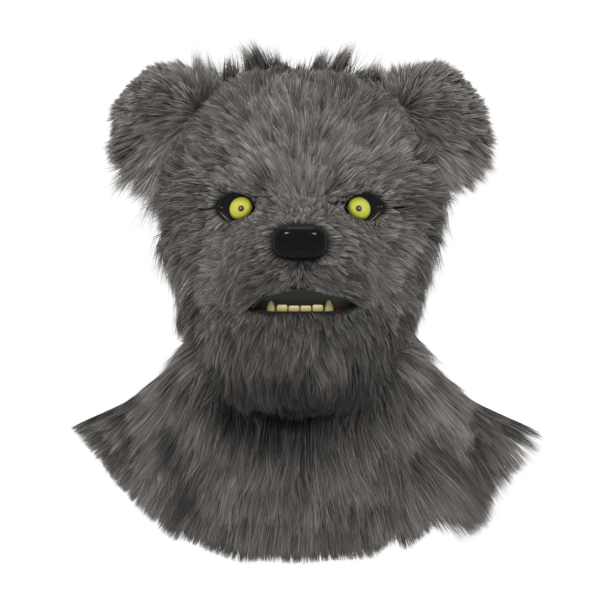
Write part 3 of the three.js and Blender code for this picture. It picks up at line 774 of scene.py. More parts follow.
@dataclass(frozen=True)
class Hair:
    """Strands ready to be made into pieces: the corners of each, with their colours."""

    corners: Array
    colors: Array

    def piece(self, name: str, node: str, chosen: Array) -> bpy.types.Object:
        """Makes a piece of fur of the chosen strands.

        Args:
            name: The piece's name.
            node: The solid that it stands for.
            chosen: Which strands it takes, as one flag a strand.

        Returns:
            The new object.
        """
        corners = self.corners[chosen]
        size, count = corners.shape[:2]
        last = count - 1
        face: list[int] = []
        for first in range(0, last - 2, 2):
            face += [first, first + 1, first + 3, first + 2]
        face += [last - 2, last - 1, last]
        loops = (np.arange(size)[:, None] * count + np.array(face)).ravel()
        counts = np.tile([4] * ((last - 2) // 2) + [3], size)
        piece = put(name, corners.reshape(-1, 3), loops, counts, FUR)
        paint(piece, self.colors[chosen].reshape(-1, 3))
        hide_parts(node)
        log.info("%s: %d strands", name, size)
        return piece


@dataclass(frozen=True)
class Strands:
    """How strands of fur look: flat tapered ribbons that are drawn into clumps and locks."""

    width: float = 0.5
    clump: int = 15  # strands drawn to one tip
    lock: int = 280  # strands that lie and shine alike
    pull: float = 0.62
    sway: float = 0.27
    ragged: float = 0.2  # how much the length differs
    droop: float = 0.05
    bend: float = 0.12
    settle: float = 0.35  # how far a lifted strand sinks back
    clump_part: float = 0.6  # how much clumps differ, beside locks
    lock_contrast: float = 0.28
    clump_contrast: float = 0.34
    strand_contrast: float = 0.48
    darkest: float = 0.12
    guard_share: float = 0.12  # strands that are pale guard hairs
    guard_tone: float = 1.7
    under_tone: float = 0.94
    steps: tuple[float, ...] = (0, 0.5, 1)
    # darker towards the root: partly the fur's own colour and partly painted shade deep in the pile
    root: Color = (0.018, 0.0173, 0.016)
    body: Color = (0.1, 0.0925, 0.0845)
    tip: Color = (0.25, 0.233, 0.216)

    def nearest(self, points: Array, count: int, rng: np.random.Generator) -> Array:
        """Returns for each point the nearest of a number of points picked from them.

        Args:
            points: The roots.
            count: How many to pick.
            rng: The source of chance.

        Returns:
            One index a root.
        """
        chosen = rng.choice(len(points), max(count, 1), replace=False)
        tree = KDTree(len(chosen))
        for index in chosen:
            tree.insert(points[index], int(index))
        tree.balance()
        return np.array([tree.find(point)[1] for point in points])

    def paths(self, roots: Roots, steps: Array, walk: Walk | None) -> Array:
        """Returns the points of every strand at the steps from its root to its tip.

        Args:
            roots: Where the strands root.
            steps: Shares of their length.
            walk: Leads the strands over the form, or None where they run straight on.

        Returns:
            One row of points a strand.
        """
        t = steps[None, :, None]
        length = roots.lengths[:, None, None]
        rise = roots.lifts[:, None, None] * (t - self.settle * t**2)
        if walk:
            ground, facing = walk(roots, steps)
            return ground + facing * length * rise + DOWN * self.droop * length * t**2
        rise = rise - self.bend * t**2
        along = roots.flows[:, None] * t + roots.normals[:, None] * rise
        return roots.points[:, None] + length * (along + DOWN * self.droop * t**2)

    def comb(self, roots: Roots, clumps: Array, locks: Array, rng: np.random.Generator) -> Roots:
        """Returns the roots with the sway, length and tone of their locks and clumps.

        Args:
            roots: The roots.
            clumps: The index of each root's clump.
            locks: The index of each root's lock.
            rng: The source of chance.

        Returns:
            The combed roots.
        """
        size = len(roots.points)
        by_lock, by_clump, by_strand = (rng.uniform(-1, 1, (size, 4)) for _ in range(3))
        mixed = by_lock[locks] + self.clump_part * by_clump[clumps]
        sway = self.sway * (mixed[:, 0] + 0.35 * by_strand[:, 0])
        bright = 1 + self.lock_contrast * by_lock[locks, 1] + self.clump_contrast * by_clump[clumps, 1]
        bright = bright + self.strand_contrast * by_strand[:, 1]
        guard = rng.random(size) < self.guard_share
        bright = np.maximum(bright, self.darkest) * np.where(guard, self.guard_tone, self.under_tone)
        return Roots(
            roots.points,
            roots.normals,
            turned(roots.flows, roots.normals, sway),
            roots.lengths * (1 + self.ragged * (mixed[:, 2] + 0.7 * by_strand[:, 2])),
            roots.lifts * (1 + 0.5 * mixed[:, 3] + 0.5 * by_strand[:, 3]),
            roots.tones * bright,
        )

    def grow(self, roots: Roots, seed: int, walk: Walk | None = None) -> Hair:
        """Grows strands.

        Args:
            roots: Where the strands root.
            seed: Fixes the sway of their locks.
            walk: Leads the strands over the form, or None where they run straight on.

        Returns:
            The strands, ready to be made into pieces.
        """
        rng = np.random.default_rng(seed)
        size = len(roots.points)
        clumps = self.nearest(roots.points, size // self.clump, rng)
        locks = self.nearest(roots.points, size // self.lock, rng)
        combed = self.comb(roots, clumps, locks, rng)
        steps = np.array(self.steps)
        path = self.paths(combed, steps, walk)
        pull = self.pull * rng.uniform(0.6, 1, size)[clumps] * rng.uniform(0.7, 1.1, size)
        path += (path[clumps] - path) * pull[:, None, None] * (steps**1.4)[None, :, None]
        along = unit(np.gradient(path, axis=1))
        across = unit(np.cross(along, combed.normals[:, None]))
        twist = rng.normal(0, 0.55, size)[:, None, None]
        across = across * np.cos(twist) + np.cross(along, across) * np.sin(twist)
        half = self.width / 2 * rng.uniform(0.6, 1.3, size)[:, None, None] * across[:, :-1]
        half = half * np.interp(steps[:-1], [0, 0.34, 0.7], [0.8, 1, 0.75])[None, :, None]
        pairs = np.stack([path[:, :-1] - half, path[:, :-1] + half], axis=2).reshape(size, -1, 3)
        corners = np.concatenate([pairs, path[:, -1:]], axis=1)
        share = np.append(np.repeat(steps[:-1], 2), 1.0)[None, :, None]
        # painted shade towards the root, blended with the fur's root, body and tip colours
        low = blend(np.array(self.root), np.array(self.body), np.clip(share * 2.2, 0, 1))
        colors = blend(low, np.array(self.tip), np.clip(share * 2 - 1, 0, 1))
        return Hair(corners, np.clip(colors * combed.tones[:, None, None], 0.002, 0.75))


@dataclass
class Skin:
    """The knitted backing with the dark base of its fur, as one smooth wall; the base is partly the roots'
    colour and partly painted shade deep in the pile.
    """

    form: Form
    columns: int = 150
    steps: int = 4  # rings between two of the table's
    base_lift: float = 1.6
    seam: float = 0.02  # share of a ring between head and cape
    bite_rings: float = 2.5  # rings over which the bites of the hem fade in

    def rings(self, low: float, high: float, lift: float) -> list[Array]:
        """Returns rings over the form from one place to another, lifted off it.

        Args:
            low: The first ring place.
            high: The last ring place.
            lift: Millimetres off the backing.

        Returns:
            The rings from the top down.
        """
        angles = turns(self.columns) - np.pi
        found = []
        for place in np.linspace(low, high, int((high - low) * self.steps) + 1):
            if place == 0:
                found.append(self.form.lifted(np.zeros(1), np.zeros(1), lift))
                continue
            x = self.form.point(np.full_like(angles, place), angles)[:, 0]
            fading = smooth(np.array(place), HEM - self.bite_rings, HEM)
            cut = self.form.bite(x) * fading * (np.cos(angles) > 0)
            found.append(self.form.lifted(place - cut, angles, lift))
        return found

    def wall(self, name: str, node: str, low: float, high: float) -> bpy.types.Object:
        """Makes a wall that shows the dark base of the fur outside, partly the roots' colour and partly
        painted shade deep in the pile, and knit inside.

        Args:
            name: The piece's name.
            node: The solid that it stands for.
            low: Its first ring place.
            high: Its last ring place.

        Returns:
            The new object.
        """
        outer = self.rings(low, high, self.base_lift)
        inner = self.rings(low, high, -self.form.backing)[::-1]
        corners, loops, counts = loft([*outer, *inner], wrap=low > 0)
        # outside: the dark base, with painted shade deep in the pile
        piece = put(name, corners, loops, counts, PELT_BASE_AND_SHADE)
        piece.data.materials.append(KNIT.material())
        middle = np.zeros(len(counts), int)
        middle[len(counts) // 2 :] = 1
        piece.data.polygons.foreach_set("material_index", middle)
        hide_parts(node)
        return piece

    def cut(self, piece: bpy.types.Object, outlines: list[Array]) -> None:
        """Cuts holes of the given outlines through the front of a wall.

        Args:
            piece: The wall.
            outlines: Closed outlines in the front view, as rows of x and z.
        """
        for outline in outlines:
            near, far = -self.form.front * 3, -self.form.front * 0.45
            ends = [np.insert(outline, 1, y, axis=1) for y in (near, far)]
            tool = put("cutter", *loft(ends), PELT_BASE_AND_SHADE)
            change = piece.modifiers.new("opening", "BOOLEAN")
            change.operation = "DIFFERENCE"
            change.solver = "EXACT"
            change.object = tool
            depsgraph = bpy.context.evaluated_depsgraph_get()
            mesh = bpy.data.meshes.new_from_object(piece.evaluated_get(depsgraph))
            piece.modifiers.clear()
            piece.data = mesh
            bpy.data.objects.remove(tool)

    def build(self, face: "Face") -> None:
        """Makes the walls of head and cape.

        Args:
            face: The face, whose openings are cut.
        """
        head = self.wall("head_wall", "head_backing", 0, NECK)
        self.cut(head, face.outlines())
        cape = self.wall("cape_wall", "cape_backing", NECK + self.seam, HEM)
        self.measure()
        log.info("walls: %d and %d faces", len(head.data.polygons), len(cape.data.polygons))

    def measure(self) -> None:
        """Works out the rings of the cape's outside, and states nothing from them.
        """
        outer = self.rings(NECK + self.seam, HEM, self.base_lift)


class ToothForm(NamedTuple):
    """A tooth: its sizes, and rows of a share of its height and the share of its width there."""

    width: float
    thickness: float
    height: float
    levels: tuple[tuple[float, float], ...]


CANINE = ToothForm(
    8.4,
    6,
    16,
    ((0, 0.8), (0.25, 0.94), (0.45, 1), (0.6, 0.9), (0.74, 0.74), (0.87, 0.5), (0.95, 0.3), (1, 0.12)),
)
INCISOR = ToothForm(
    9.4,
    4.6,
    12,
    ((0, 0.85), (0.3, 0.93), (0.6, 1), (0.8, 1), (0.9, 0.97), (0.96, 0.9), (0.99, 0.8), (1, 0.66)),
)
SOCKET_PROFILE = (  # share of the almond, and how far out of the face: skirt, raised rim and floor
    (1, -7),
    (1, 2.2),
    (0.985, 2.9),
    (0.955, 3.2),
    (0.92, 2.9),
    (0.88, 1.9),
    (0.7, 0.9),
    (0.4, 0.6),
)
PUPIL_PROFILE = ((1, -0.9), (1, 0.02), (0.9, 0.22), (0.66, 0.3), (0.5, 0.3), (0.3, 0.3))
POCKET_ROWS = ((0, 1.0), (0.6, 1.0), (0.9, 0.93), (1, 0.75), (1, 0.4))  # share of depth, scale
INCISOR_RISES = (0.29, 0.25, 0.25, 0.29)  # above the lip, as shares of the mouth's height
CANINE_RISES = (0.46, 0.5)


@dataclass
class Face:
    """Eyes in their sockets, the nose and the mouth."""

    form: Form
    eye_radius: float = 10.3
    pupil_radius: float = 2.5
    nose_width: float = 46
    nose_depth: float = 16
    gum_half_width: float = 37
    gum_height: float = 12
    gum_depth: float = 13
    incisor_pitch: float = 9.9
    canine_offset: float = 4.2  # beyond the outer incisor
    socket_turn: float = 0.75  # 0 looks straight ahead and 1 square off the face
    eye_turn: float = 0.6
    nose_turn: float = 0.25
    nose_corners: tuple[float, float] = (0.66, 0.56)  # across and up: 1 is round and 0 is square
    nostril_size: tuple[float, float] = (5.2, 3.2)
    lining_gap: float = 0.4  # between the wall and the pocket
    lining_margin: float = 1.2  # of the pocket round the gum
    gum_gap: float = 0.6  # between the wall and the gum
    tooth_setback: float = 4
    tray_depth: float = 26
    tray_wall: float = 1.5
    opening_inset: float = 0.6  # of the wall's eye openings inside the sockets
    nostril_depth: float = 0.8

    def almond(self, side: Side, growth: float, samples: int = 12) -> Array:
        """Returns the outline of a socket in its seat, as rows of right and up.

        Args:
            side: The side of the face.
            growth: How far outside the socket's edge it lies.
            samples: Points on each of its four bends.

        Returns:
            One point a row.
        """
        tall = self.form.socket_height / 2 + growth
        tip = side.value * (self.form.socket_width / 2 + growth)
        bends = [
            ((tip, tall * 0.2), (tip * 0.5, tall * 1.25), (-tip * 0.1, tall)),
            ((-tip * 0.1, tall), (-tip * 0.7, tall * 0.75), (-tip, tall * 0.1)),
            ((-tip, tall * 0.1), (-tip * 0.75, -tall), (-tip * 0.15, -tall)),
            ((-tip * 0.15, -tall), (tip * 0.5, -tall * 0.8), (tip, tall * 0.2)),
        ]
        t = (np.arange(samples) / samples)[:, None]
        curves = [
            (1 - t) ** 2 * np.array(a) + 2 * t * (1 - t) * np.array(b) + t**2 * np.array(c)
            for a, b, c in bends
        ]
        return np.vstack(curves)

    def socket_seat(self, side: Side) -> Seat:
        """Returns the seat of a socket."""
        x = side.value * (self.form.eye_spacing + self.form.socket_width / 4) / 2
        return self.form.seat(x, -self.form.eye_drop, self.socket_turn)

    def mouth_outline(self, growth: float, samples: int = 15) -> Array:
        """Returns the outline of the mouth grown by a distance, as rows of x and z.

        Args:
            growth: How far outside the lips it lies.
            samples: Points on the lower lip.

        Returns:
            One point a row.
        """
        half = self.form.mouth_width / 2
        x = np.concatenate([np.linspace(-half, half, samples), np.linspace(half, -half, samples)[1:-1]])
        upper = np.concatenate([np.zeros(samples, bool), np.ones(samples - 2, bool)])
        z = np.where(upper, self.form.mouth_edge(x, True), self.form.mouth_edge(x, False))
        outline = np.stack([x, z], axis=1)
        before, after = outline - np.roll(outline, 1, axis=0), np.roll(outline, -1, axis=0) - outline
        facing = unit(unit(before) + unit(after)) @ np.array([[0, -1], [1, 0]])
        return outline + facing * growth

    def outlines(self) -> list[Array]:
        """Returns the holes of the wall behind sockets and mouth, as rows of x and z."""
        holes = [self.mouth_outline(0)]
        for side in Side:
            rows = self.almond(side, -self.opening_inset)
            local = np.concatenate([rows, np.zeros((len(rows), 1))], axis=1)
            holes.append(self.socket_seat(side).place(local)[:, [0, 2]])
        return holes

    def socket(self, side: Side) -> None:
        """Makes a glossy almond-shaped socket with a pale lower lid.

        Args:
            side: The side of the face.
        """
        outline = self.almond(side, 0)
        seat = self.socket_seat(side)
        rings = [
            seat.place(np.concatenate([outline * share, np.full((len(outline), 1), out)], axis=1))
            for share, out in SOCKET_PROFILE
        ]
        piece = put(f"socket_{side.word}", *loft(rings), SOCKET)
        local = seat.local(piece)
        lower = smooth(-local[:, 1], 1, 6) * smooth(side.value * local[:, 0], -4, 8)
        paint(piece, mix(SOCKET_BLACK, LID_GREY, lower * smooth(local[:, 2], 2.4, 3)))
        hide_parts(f"eye_socket_{side.word}")

    def eye(self, side: Side) -> None:
        """Makes a yellow dome with painted shade in olive above and at its rim, and a pupil whose lighter
        middle is a painted highlight.

        Args:
            side: The side of the face.
        """
        x = side.value * self.form.eye_spacing / 2
        seat = self.form.seat(x, -self.form.eye_drop, self.eye_turn)
        shoulder = self.form.face_pile * 0.4
        shares = np.linspace(0, 1, 15)
        radii = self.eye_radius * np.cos(shares * np.pi / 2)
        heights = shoulder + self.form.eye_dome * np.sin(shares * np.pi / 2)
        dome = [(self.eye_radius, shoulder - 5), *zip(radii[:-1], heights[:-1])]
        eye = put(f"yellow_eye_{side.word}", *loft(self.turned_rings(seat, dome)), EYE)
        paint(eye, self.eye_colors(eye, seat))
        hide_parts(f"eye_{side.word}")
        top = shoulder + self.form.eye_dome
        rows = [(share * self.pupil_radius, top + out) for share, out in PUPIL_PROFILE]
        out = seat.axes[2]
        aside = np.array([out[0], 0, out[2]])
        ahead = np.array([0, (aside @ aside) / out[1], 0])
        gaze = Seat(seat.middle + (ahead - aside) * self.form.eye_dome, seat.axes)
        pupil = put(f"pupil_disc_{side.word}", *loft(self.turned_rings(gaze, rows)), PUPIL)
        local = gaze.local(pupil)
        radius = np.hypot(local[:, 0], local[:, 1]) / self.pupil_radius
        # painted highlight: the grey middle of the pupil
        paint(pupil, mix(PUPIL_BLACK, PUPIL_GLINT_GREY, 1 - smooth(radius, 0.4, 0.62)))
        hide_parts(f"pupil_{side.word}")

    def turned_rings(self, seat: Seat, profile: list[tuple[float, float]]) -> list[Array]:
        """Returns rings round the seat's axis, each with a radius and a height.

        Args:
            seat: The seat.
            profile: Radius and height of every ring.

        Returns:
            The rings in order.
        """
        turn = turns(48)
        circle = np.stack([np.cos(turn), np.sin(turn)], axis=1)
        return [
            seat.place(np.concatenate([circle * radius, np.full((len(turn), 1), out)], axis=1))
            for radius, out in profile
        ]

    def eye_colors(self, eye: bpy.types.Object, seat: Seat) -> Array:
        """Returns lime yellow, paler round the pupil, with painted shade in olive at the rim and above.

        Args:
            eye: The dome.
            seat: Where it sits.

        Returns:
            One colour a corner.
        """
        local = seat.local(eye)
        radius = np.hypot(local[:, 0], local[:, 1])
        # painted shade: olive at the rim and above, where the dome lies in shade
        rim = smooth(radius, self.eye_radius * 0.78, self.eye_radius)
        above = smooth(local[:, 1], self.eye_radius * 0.1, self.eye_radius * 0.95)
        olive = np.clip(0.8 * rim + 0.45 * above, 0, 1)
        halo = np.exp(-(((radius - self.pupil_radius * 1.3) / 1.1) ** 2))[:, None]
        return blend(mix(EYE_LIME, EYE_SHADE_OLIVE, olive), np.array(EYE_PALE), 0.4 * halo)

    def nose(self) -> None:
        """Makes the nose: a glossy domed block, widest just above its middle, with two faint nostrils."""
        seat = self.form.seat(0, -self.form.nose_drop, self.nose_turn)
        turn = turns(64)
        across = signed_power(np.cos(turn), self.nose_corners[0])
        up = signed_power(np.sin(turn), self.nose_corners[1])
        wide, tall = self.nostril_size
        rise = np.linspace(0, np.pi / 2, 26)[:-1]
        share = np.concatenate([[-0.35, 0], 0.3 + 0.7 * np.sin(rise) ** 0.9])
        size = np.concatenate([[0.86, 0.97], np.cos(rise) ** 0.62])
        rings = []
        for out, scale in zip(share, size):
            x = across * (1 + 0.02 * up - 0.08 * up**2) * scale * self.nose_width / 2
            y = up * scale * self.form.nose_height / 2
            level = np.full_like(x, out * self.nose_depth)
            for side in Side:
                middle = np.array([side.value * self.nose_width * 0.25, -self.form.nose_height * 0.16])
                away = np.hypot((x - middle[0]) / wide, (y - middle[1]) / tall)
                level = level - (out > 0.5) * self.nostril_depth * (1 - smooth(away, 0, 1))
            rings.append(seat.place(np.stack([x, y, level], axis=1)))
        piece = put("nose_block", *loft(rings), NOSE)
        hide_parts("nose")

    def lining(self) -> None:
        """Makes the dark cloth pocket behind the mouth."""
        wall, wide = self.tray_wall, self.gum_height + self.lining_margin
        inner = [self.pocket_ring(wide, depth, scale, 0) for depth, scale in POCKET_ROWS]
        outer = [self.pocket_ring(wide + wall, depth, scale, wall) for depth, scale in POCKET_ROWS]
        middle = [ring.mean(axis=0, keepdims=True) for ring in (outer[-1], inner[-1])]
        piece = put("mouth_pocket", *loft([middle[0], *outer[::-1], *inner, middle[1]]), LINING)
        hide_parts("mouth_lining")

    def pocket_ring(self, growth: float, depth: float, scale: float, wall: float) -> Array:
        """Returns a ring of the pocket behind the lip.

        Args:
            growth: How far it lies outside the mouth's outline.
            depth: Share of the pocket's depth.
            scale: Share of its size about its middle.
            wall: How much deeper it lies at its back.

        Returns:
            One point a row.
        """
        outline = self.mouth_outline(growth)
        middle = np.array([0, -self.form.mouth_drop])
        outline = middle + (outline - middle) * scale
        wall_face = self.form.surface(outline[:, 0], outline[:, 1])[:, 1]
        wall_face = wall_face + self.form.backing + self.lining_gap
        ahead = self.form.surface(np.zeros(1), middle[1:])[0, 1] + self.tray_depth
        y = blend(wall_face, np.maximum(wall_face + 3, ahead), depth) + wall * depth
        return np.stack([outline[:, 0], y, outline[:, 1]], axis=1)

    def lip_height(self) -> float:
        """Returns the height of the lower lip."""
        return float(self.form.mouth_edge(np.zeros(1), False)[0])

    def gum(self) -> None:
        """Makes the red gum that the teeth stand in, raised beyond the canines."""
        x = np.linspace(-self.gum_half_width, self.gum_half_width, 61)
        lip = self.lip_height()
        wall = self.form.surface(x, np.full_like(x, lip - 4))[:, 1]
        wall = wall + self.form.backing + self.gum_gap
        share = np.abs(x) / self.gum_half_width
        end = np.sqrt(np.clip(1 - smooth(share, 0.9, 1.02) ** 2, 0.05, 1))
        pitch = (x / self.incisor_pitch + 0.5) % 1 - 0.5
        top = lip - 0.3 + 3.6 * smooth(share, 0.74, 0.86) + 0.9 * np.cos(pitch * TAU) * (share < 0.7)
        turn = turns(20)
        rings = []
        for i, place in enumerate(x):
            half_tall = (top[i] - lip + self.gum_height) / 2 * end[i]
            z = lip - self.gum_height + half_tall / end[i] + signed_power(np.sin(turn), 0.7) * half_tall
            depth = self.gum_depth / 2 * (1 + signed_power(np.cos(turn), 0.7) * end[i])
            rings.append(np.stack([np.full_like(z, place), wall[i] + depth, z], axis=1))
        piece = put("red_gum", *loft(rings), GUM)
        paint(piece, mix(GUM_DARK, GUM_RED, smooth(corners_of(piece)[:, 2] - lip, -6, 1)))
        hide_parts("lower_gum")

    def tooth(self, name: str, x: float, rise: float, shape: ToothForm) -> None:
        """Makes a tooth of the lower jaw.

        Args:
            name: The solid that it stands for.
            x: Its place across.
            rise: How far it stands above the lip, as a share of the mouth's height.
            shape: Its sizes and profile.
        """
        lip = self.lip_height()
        place, angle = self.form.seen(np.array([x]), np.array([lip]))
        facing = self.form.normal(place, angle)[0]
        turn = np.arctan2(facing[0], -facing[1])
        wall = self.form.point(place, angle)[0, 1] + self.form.backing
        middle = wall + self.tooth_setback + shape.thickness / 2
        axes = np.array([[np.cos(turn), np.sin(turn), 0], [-np.sin(turn), np.cos(turn), 0], [0, 0, 1]])
        seat = Seat(np.array([x, middle, lip + rise * self.form.mouth_height]), axes)
        around = turns(28)
        across, ahead = signed_power(np.cos(around), 0.7), signed_power(np.sin(around), 0.7)
        rings = []
        for level, scale in shape.levels:
            right = across * shape.width * scale / 2
            back = ahead * shape.thickness * scale / 2
            up = np.full_like(right, shape.height * (level - 1))
            rings.append(seat.place(np.stack([right, back, up], axis=1)))
        piece = put(f"ivory_{name}", *loft(rings), TOOTH)
        paint(piece, mix(TOOTH_FOOT, TOOTH_IVORY, smooth(corners_of(piece)[:, 2] - lip, -1.5, 4.5)))
        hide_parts(name)

    def build(self) -> None:
        """Makes every piece of the face."""
        for side in Side:
            self.socket(side)
            self.eye(side)
        self.nose()
        self.lining()
        self.gum()
        canine_place = 2 * self.incisor_pitch + self.canine_offset
        self.tooth("canine_left", -canine_place, CANINE_RISES[0], CANINE)
        for index, rise in enumerate(INCISOR_RISES):
            self.tooth(f"incisor_{index + 1}", (index - 1.5) * self.incisor_pitch, rise, INCISOR)
        self.tooth("canine_right", canine_place, CANINE_RISES[1], CANINE)
        log.info("face: eyes, nose, mouth and six teeth")


class Stretch(NamedTuple):
    """A stretch of the form that carries fur: its ring places, its angles and its number of strands."""

    name: str
    places: tuple[float, float]
    angles: tuple[float, float]
    count: int


class Wisp(NamedTuple):
    """A wisp on the crown: where it roots and ends across, how high it ends, how thick and full it is."""

    name: str
    root: float
    tip: float
    top: float
    radius: float
    count: int


HEAD = Stretch("head", (0, NECK), (-np.pi, np.pi), 152000)
JAW = Stretch("jaw", (7, NECK), (-np.pi / 2, np.pi / 2), 25000)
CAPE = Stretch("cape", (NECK - 0.4, HEM), (-np.pi, np.pi), 84000)
TEMPLE_LIFTS = (  # up, and how much further the fur at the sides of the head lifts off there
    (-235, 0.05),
    (-215, 0.11),
    (-195, 0.1),
    (-165, 0.17),
    (-140, 0.2),
    (-115, 0.4),
    (-95, 0.56),
    (-75, 0.3),
    (-55, 0),
)
CROWN_WISPS = (
    Wisp("left ear bridge", -74, -84, 27, 18, 800),
    Wisp("left bridge", -56, -62, 25, 13, 600),
    Wisp("far left", -36, -50, 34, 9, 460),
    Wisp("left", -27, -40, 37, 8, 520),
    Wisp("inner left", -14, -21, 29, 7, 420),
    Wisp("middle", -2, 3, 20, 9, 260),
    Wisp("inner right", 12, 20, 33, 7, 420),
    Wisp("right", 26, 41, 35, 9, 640),
    Wisp("far right", 42, 58, 19, 10, 300),
    Wisp("right bridge", 60, 68, 22, 13, 600),
    Wisp("right ear bridge", 76, 82, 20, 15, 700),
)


@dataclass
class Pelt:
    """The fur of head, jaw and cape."""

    form: Form
    face: Face
    long: float = 38
    short: float = 24
    moustache: float = 35
    philtrum: float = 9
    cape: float = 46
    cape_right: float = 90  # the fur over the ragged part of the hem
    jaw: float = 25
    hem_reach: float = 9  # the furthest that strands hang below the hem behind
    mouth_left: float = -28  # from here to mouth_right the moustache leaves the mouth open
    mouth_right: float = 36
    eye_raise: float = 2.2  # how far above an eye the hole in the fur has its middle
    eye_power: float = 1.6  # 1 makes that hole a lozenge and 2 an oval
    off_form: float = 0.3  # how much of a step a strand takes where it can't follow the form
    hem_margin: float = 0.01  # rings above the hem from which a strand hangs free
    bite_share: float = 0.55  # how deep the bites of the hem are in the fur, against the cloth
    lift: float = 0.22  # how far strands lift off, as a share of their length
    crown_lift: float = 0.14  # more than that on the crown
    face_lift: float = 0.08  # less than that on the face
    jaw_lift: float = 0.2
    cape_lift: float = 0.17
    shoulder_lift: float = 0.02
    cape_spread: float = 0.0034  # how much the cape's fur turns outwards for each millimetre across
    cape_room: tuple[float, float] = (2, 110)  # the least and most that a strand is let down
    chin_middle: tuple[float, float] = (-4, -196)  # of the round shade that the jaw throws
    chin_size: tuple[float, float] = (78, 80)
    # lip_shade is partly the fur's colour and partly painted shade; corner_shade, chin_shade, hem_shade and
    # deepest_shade are painted shade; the lighter sides of the neck are painted light
    head_tone: float = 1.03
    lip_shade: float = 0.42
    corner_shade: float = 0.32
    brow_shade: float = 0.3
    cape_tone: float = 0.75
    neck_painted_light: float = 0.33  # how much lighter the sides of the neck are
    chin_shade: float = 0.95
    hem_shade: float = 0.24
    deepest_shade: float = 0.88

    def scatter(self, stretch: Stretch, rng: np.random.Generator, keep: Keep) -> tuple[Array, Array]:
        """Spreads roots over a stretch.

        Args:
            stretch: Where, and how many.
            rng: The source of chance.
            keep: Says which places and angles may carry a root, as a share from 0 to 1.

        Returns:
            Places and angles.
        """
        rows, columns = 160, 240
        edges = np.linspace(*stretch.places, rows + 1), np.linspace(*stretch.angles, columns + 1)
        place, angle = np.meshgrid(*edges, indexing="ij")
        grid = self.form.point(place.ravel(), angle.ravel()).reshape(rows + 1, columns + 1, 3)
        down, along = np.diff(grid, axis=0)[:, :-1], np.diff(grid, axis=1)[:-1]
        area = np.linalg.norm(np.cross(down, along), axis=2).ravel()
        picked = rng.choice(area.size, stretch.count * 3, p=area / area.sum())
        row = picked // columns + rng.random(picked.size)
        column = picked % columns + rng.random(picked.size)
        places = blend(*stretch.places, row / rows)
        angles = blend(*stretch.angles, column / columns)
        kept = rng.random(places.size) < keep(places, angles)
        return places[kept][: stretch.count], angles[kept][: stretch.count]

    def eye_distance(self, points: Array) -> tuple[Array, Array]:
        """Returns each point's distance from the nearer eye in socket sizes, and the way out from it.

        Args:
            points: Points on the form.

        Returns:
            Distances, with 1 at the edge of the socket, and unit vectors.
        """
        side = np.where(points[:, 0] < 0, -1.0, 1.0)
        middle = side * (self.form.eye_spacing / 2 + self.form.socket_width / 8)
        x = points[:, 0] - middle
        z = points[:, 2] + self.form.eye_drop - self.eye_raise
        level = np.abs(x / (self.form.socket_width / 2)) ** self.eye_power
        level = level + np.abs(z / (self.form.socket_height / 2)) ** self.eye_power
        distance = np.where(points[:, 1] < FRONT_HALF, level ** (1 / self.eye_power), FAR_AWAY)
        return distance, unit(np.stack([x, np.zeros_like(x), z], axis=1))

    def nose_distance(self, points: Array) -> Array:
        """Returns each point's distance from the nose in nose sizes.

        Args:
            points: Points on the form.

        Returns:
            Distances, with 1 at the edge of the nose.
        """
        x = points[:, 0] / (self.face.nose_width / 2)
        z = (points[:, 2] + self.form.nose_drop) / (self.form.nose_height / 2)
        distance = (np.abs(x) ** 3 + np.abs(z) ** 3) ** (1 / 3)
        return np.where(points[:, 1] < FRONT_HALF, distance, FAR_AWAY)

    def in_mouth(self, points: Array, inset: float = 0) -> Array:
        """Returns which points lie in the mouth slit, further in than an inset.

        Args:
            points: Points on the form.
            inset: How far from the lips they have to lie.

        Returns:
            One flag a point.
        """
        x, z = points[:, 0], points[:, 2]
        inside = z < self.form.mouth_edge(x, True) - inset
        inside &= z > self.form.mouth_edge(x, False) + inset
        return inside & (np.abs(x) < self.form.mouth_width / 2) & (points[:, 1] < FRONT_HALF)

    def in_crease(self, points: Array) -> Array:
        """Returns which points lie on the crease at the outer corner of an eye.

        Args:
            points: Points on the form.

        Returns:
            One flag a point.
        """
        x = np.abs(points[:, 0]) - self.form.eye_spacing / 2 - self.form.socket_width * 0.8
        z = points[:, 2] + self.form.eye_drop - 1
        return (np.hypot(x / 9, z / 1.1) < 1) & (points[:, 1] < FRONT_HALF)

    def head_keep(self, places: Array, angles: Array) -> Array:
        """Returns the share of roots to keep on the head: more on the face, none on its pieces.

        Args:
            places: Ring places.
            angles: Radians from the front.

        Returns:
            One share a root.
        """
        points = self.form.point(places, angles)
        taken = (self.eye_distance(points)[0] < 0.9) | self.in_crease(points)
        taken |= self.nose_distance(points) < 0.92
        taken |= self.in_mouth(points) | self.form.in_jaw(points)
        share = 0.3 + 0.7 * smooth(np.cos(angles), -0.25, 0.15)
        return np.where(taken, 0, share)

    def head_flow(self, points: Array) -> Array:
        """Returns how the fur is combed: away from the nose, clear of eyes and mouth, and down behind.

        Args:
            points: Points on the form.

        Returns:
            One direction a point.
        """
        nose = np.array([0, -self.form.front - self.form.snout_reach, -self.form.nose_drop])
        behind = smooth(points[:, 1], -self.form.front * 0.2, self.form.back * 0.6)[:, None] * 0.9
        flow = blend(unit(points - nose), DOWN, behind) + DOWN * 0.2
        eye, away = self.eye_distance(points)
        inner = smooth(self.form.eye_spacing / 2 - np.abs(points[:, 0]), -2, 8)[:, None]
        away = unit(blend(away, -DOWN, inner))
        flow = flow + away * 0.9 * (1 - smooth(eye, 1, 2.1))[:, None]
        nose_drop, mouth_drop = self.form.nose_drop, self.form.mouth_drop
        over_lip = band(-points[:, 2], (nose_drop + 4, nose_drop + 24), (mouth_drop + 2, mouth_drop + 16))
        over_lip = over_lip * (points[:, 1] < MUZZLE)
        flow[:, 0] += np.sign(points[:, 0]) * 1.1 * over_lip * smooth(np.abs(points[:, 0]), 0, 9)
        return flow

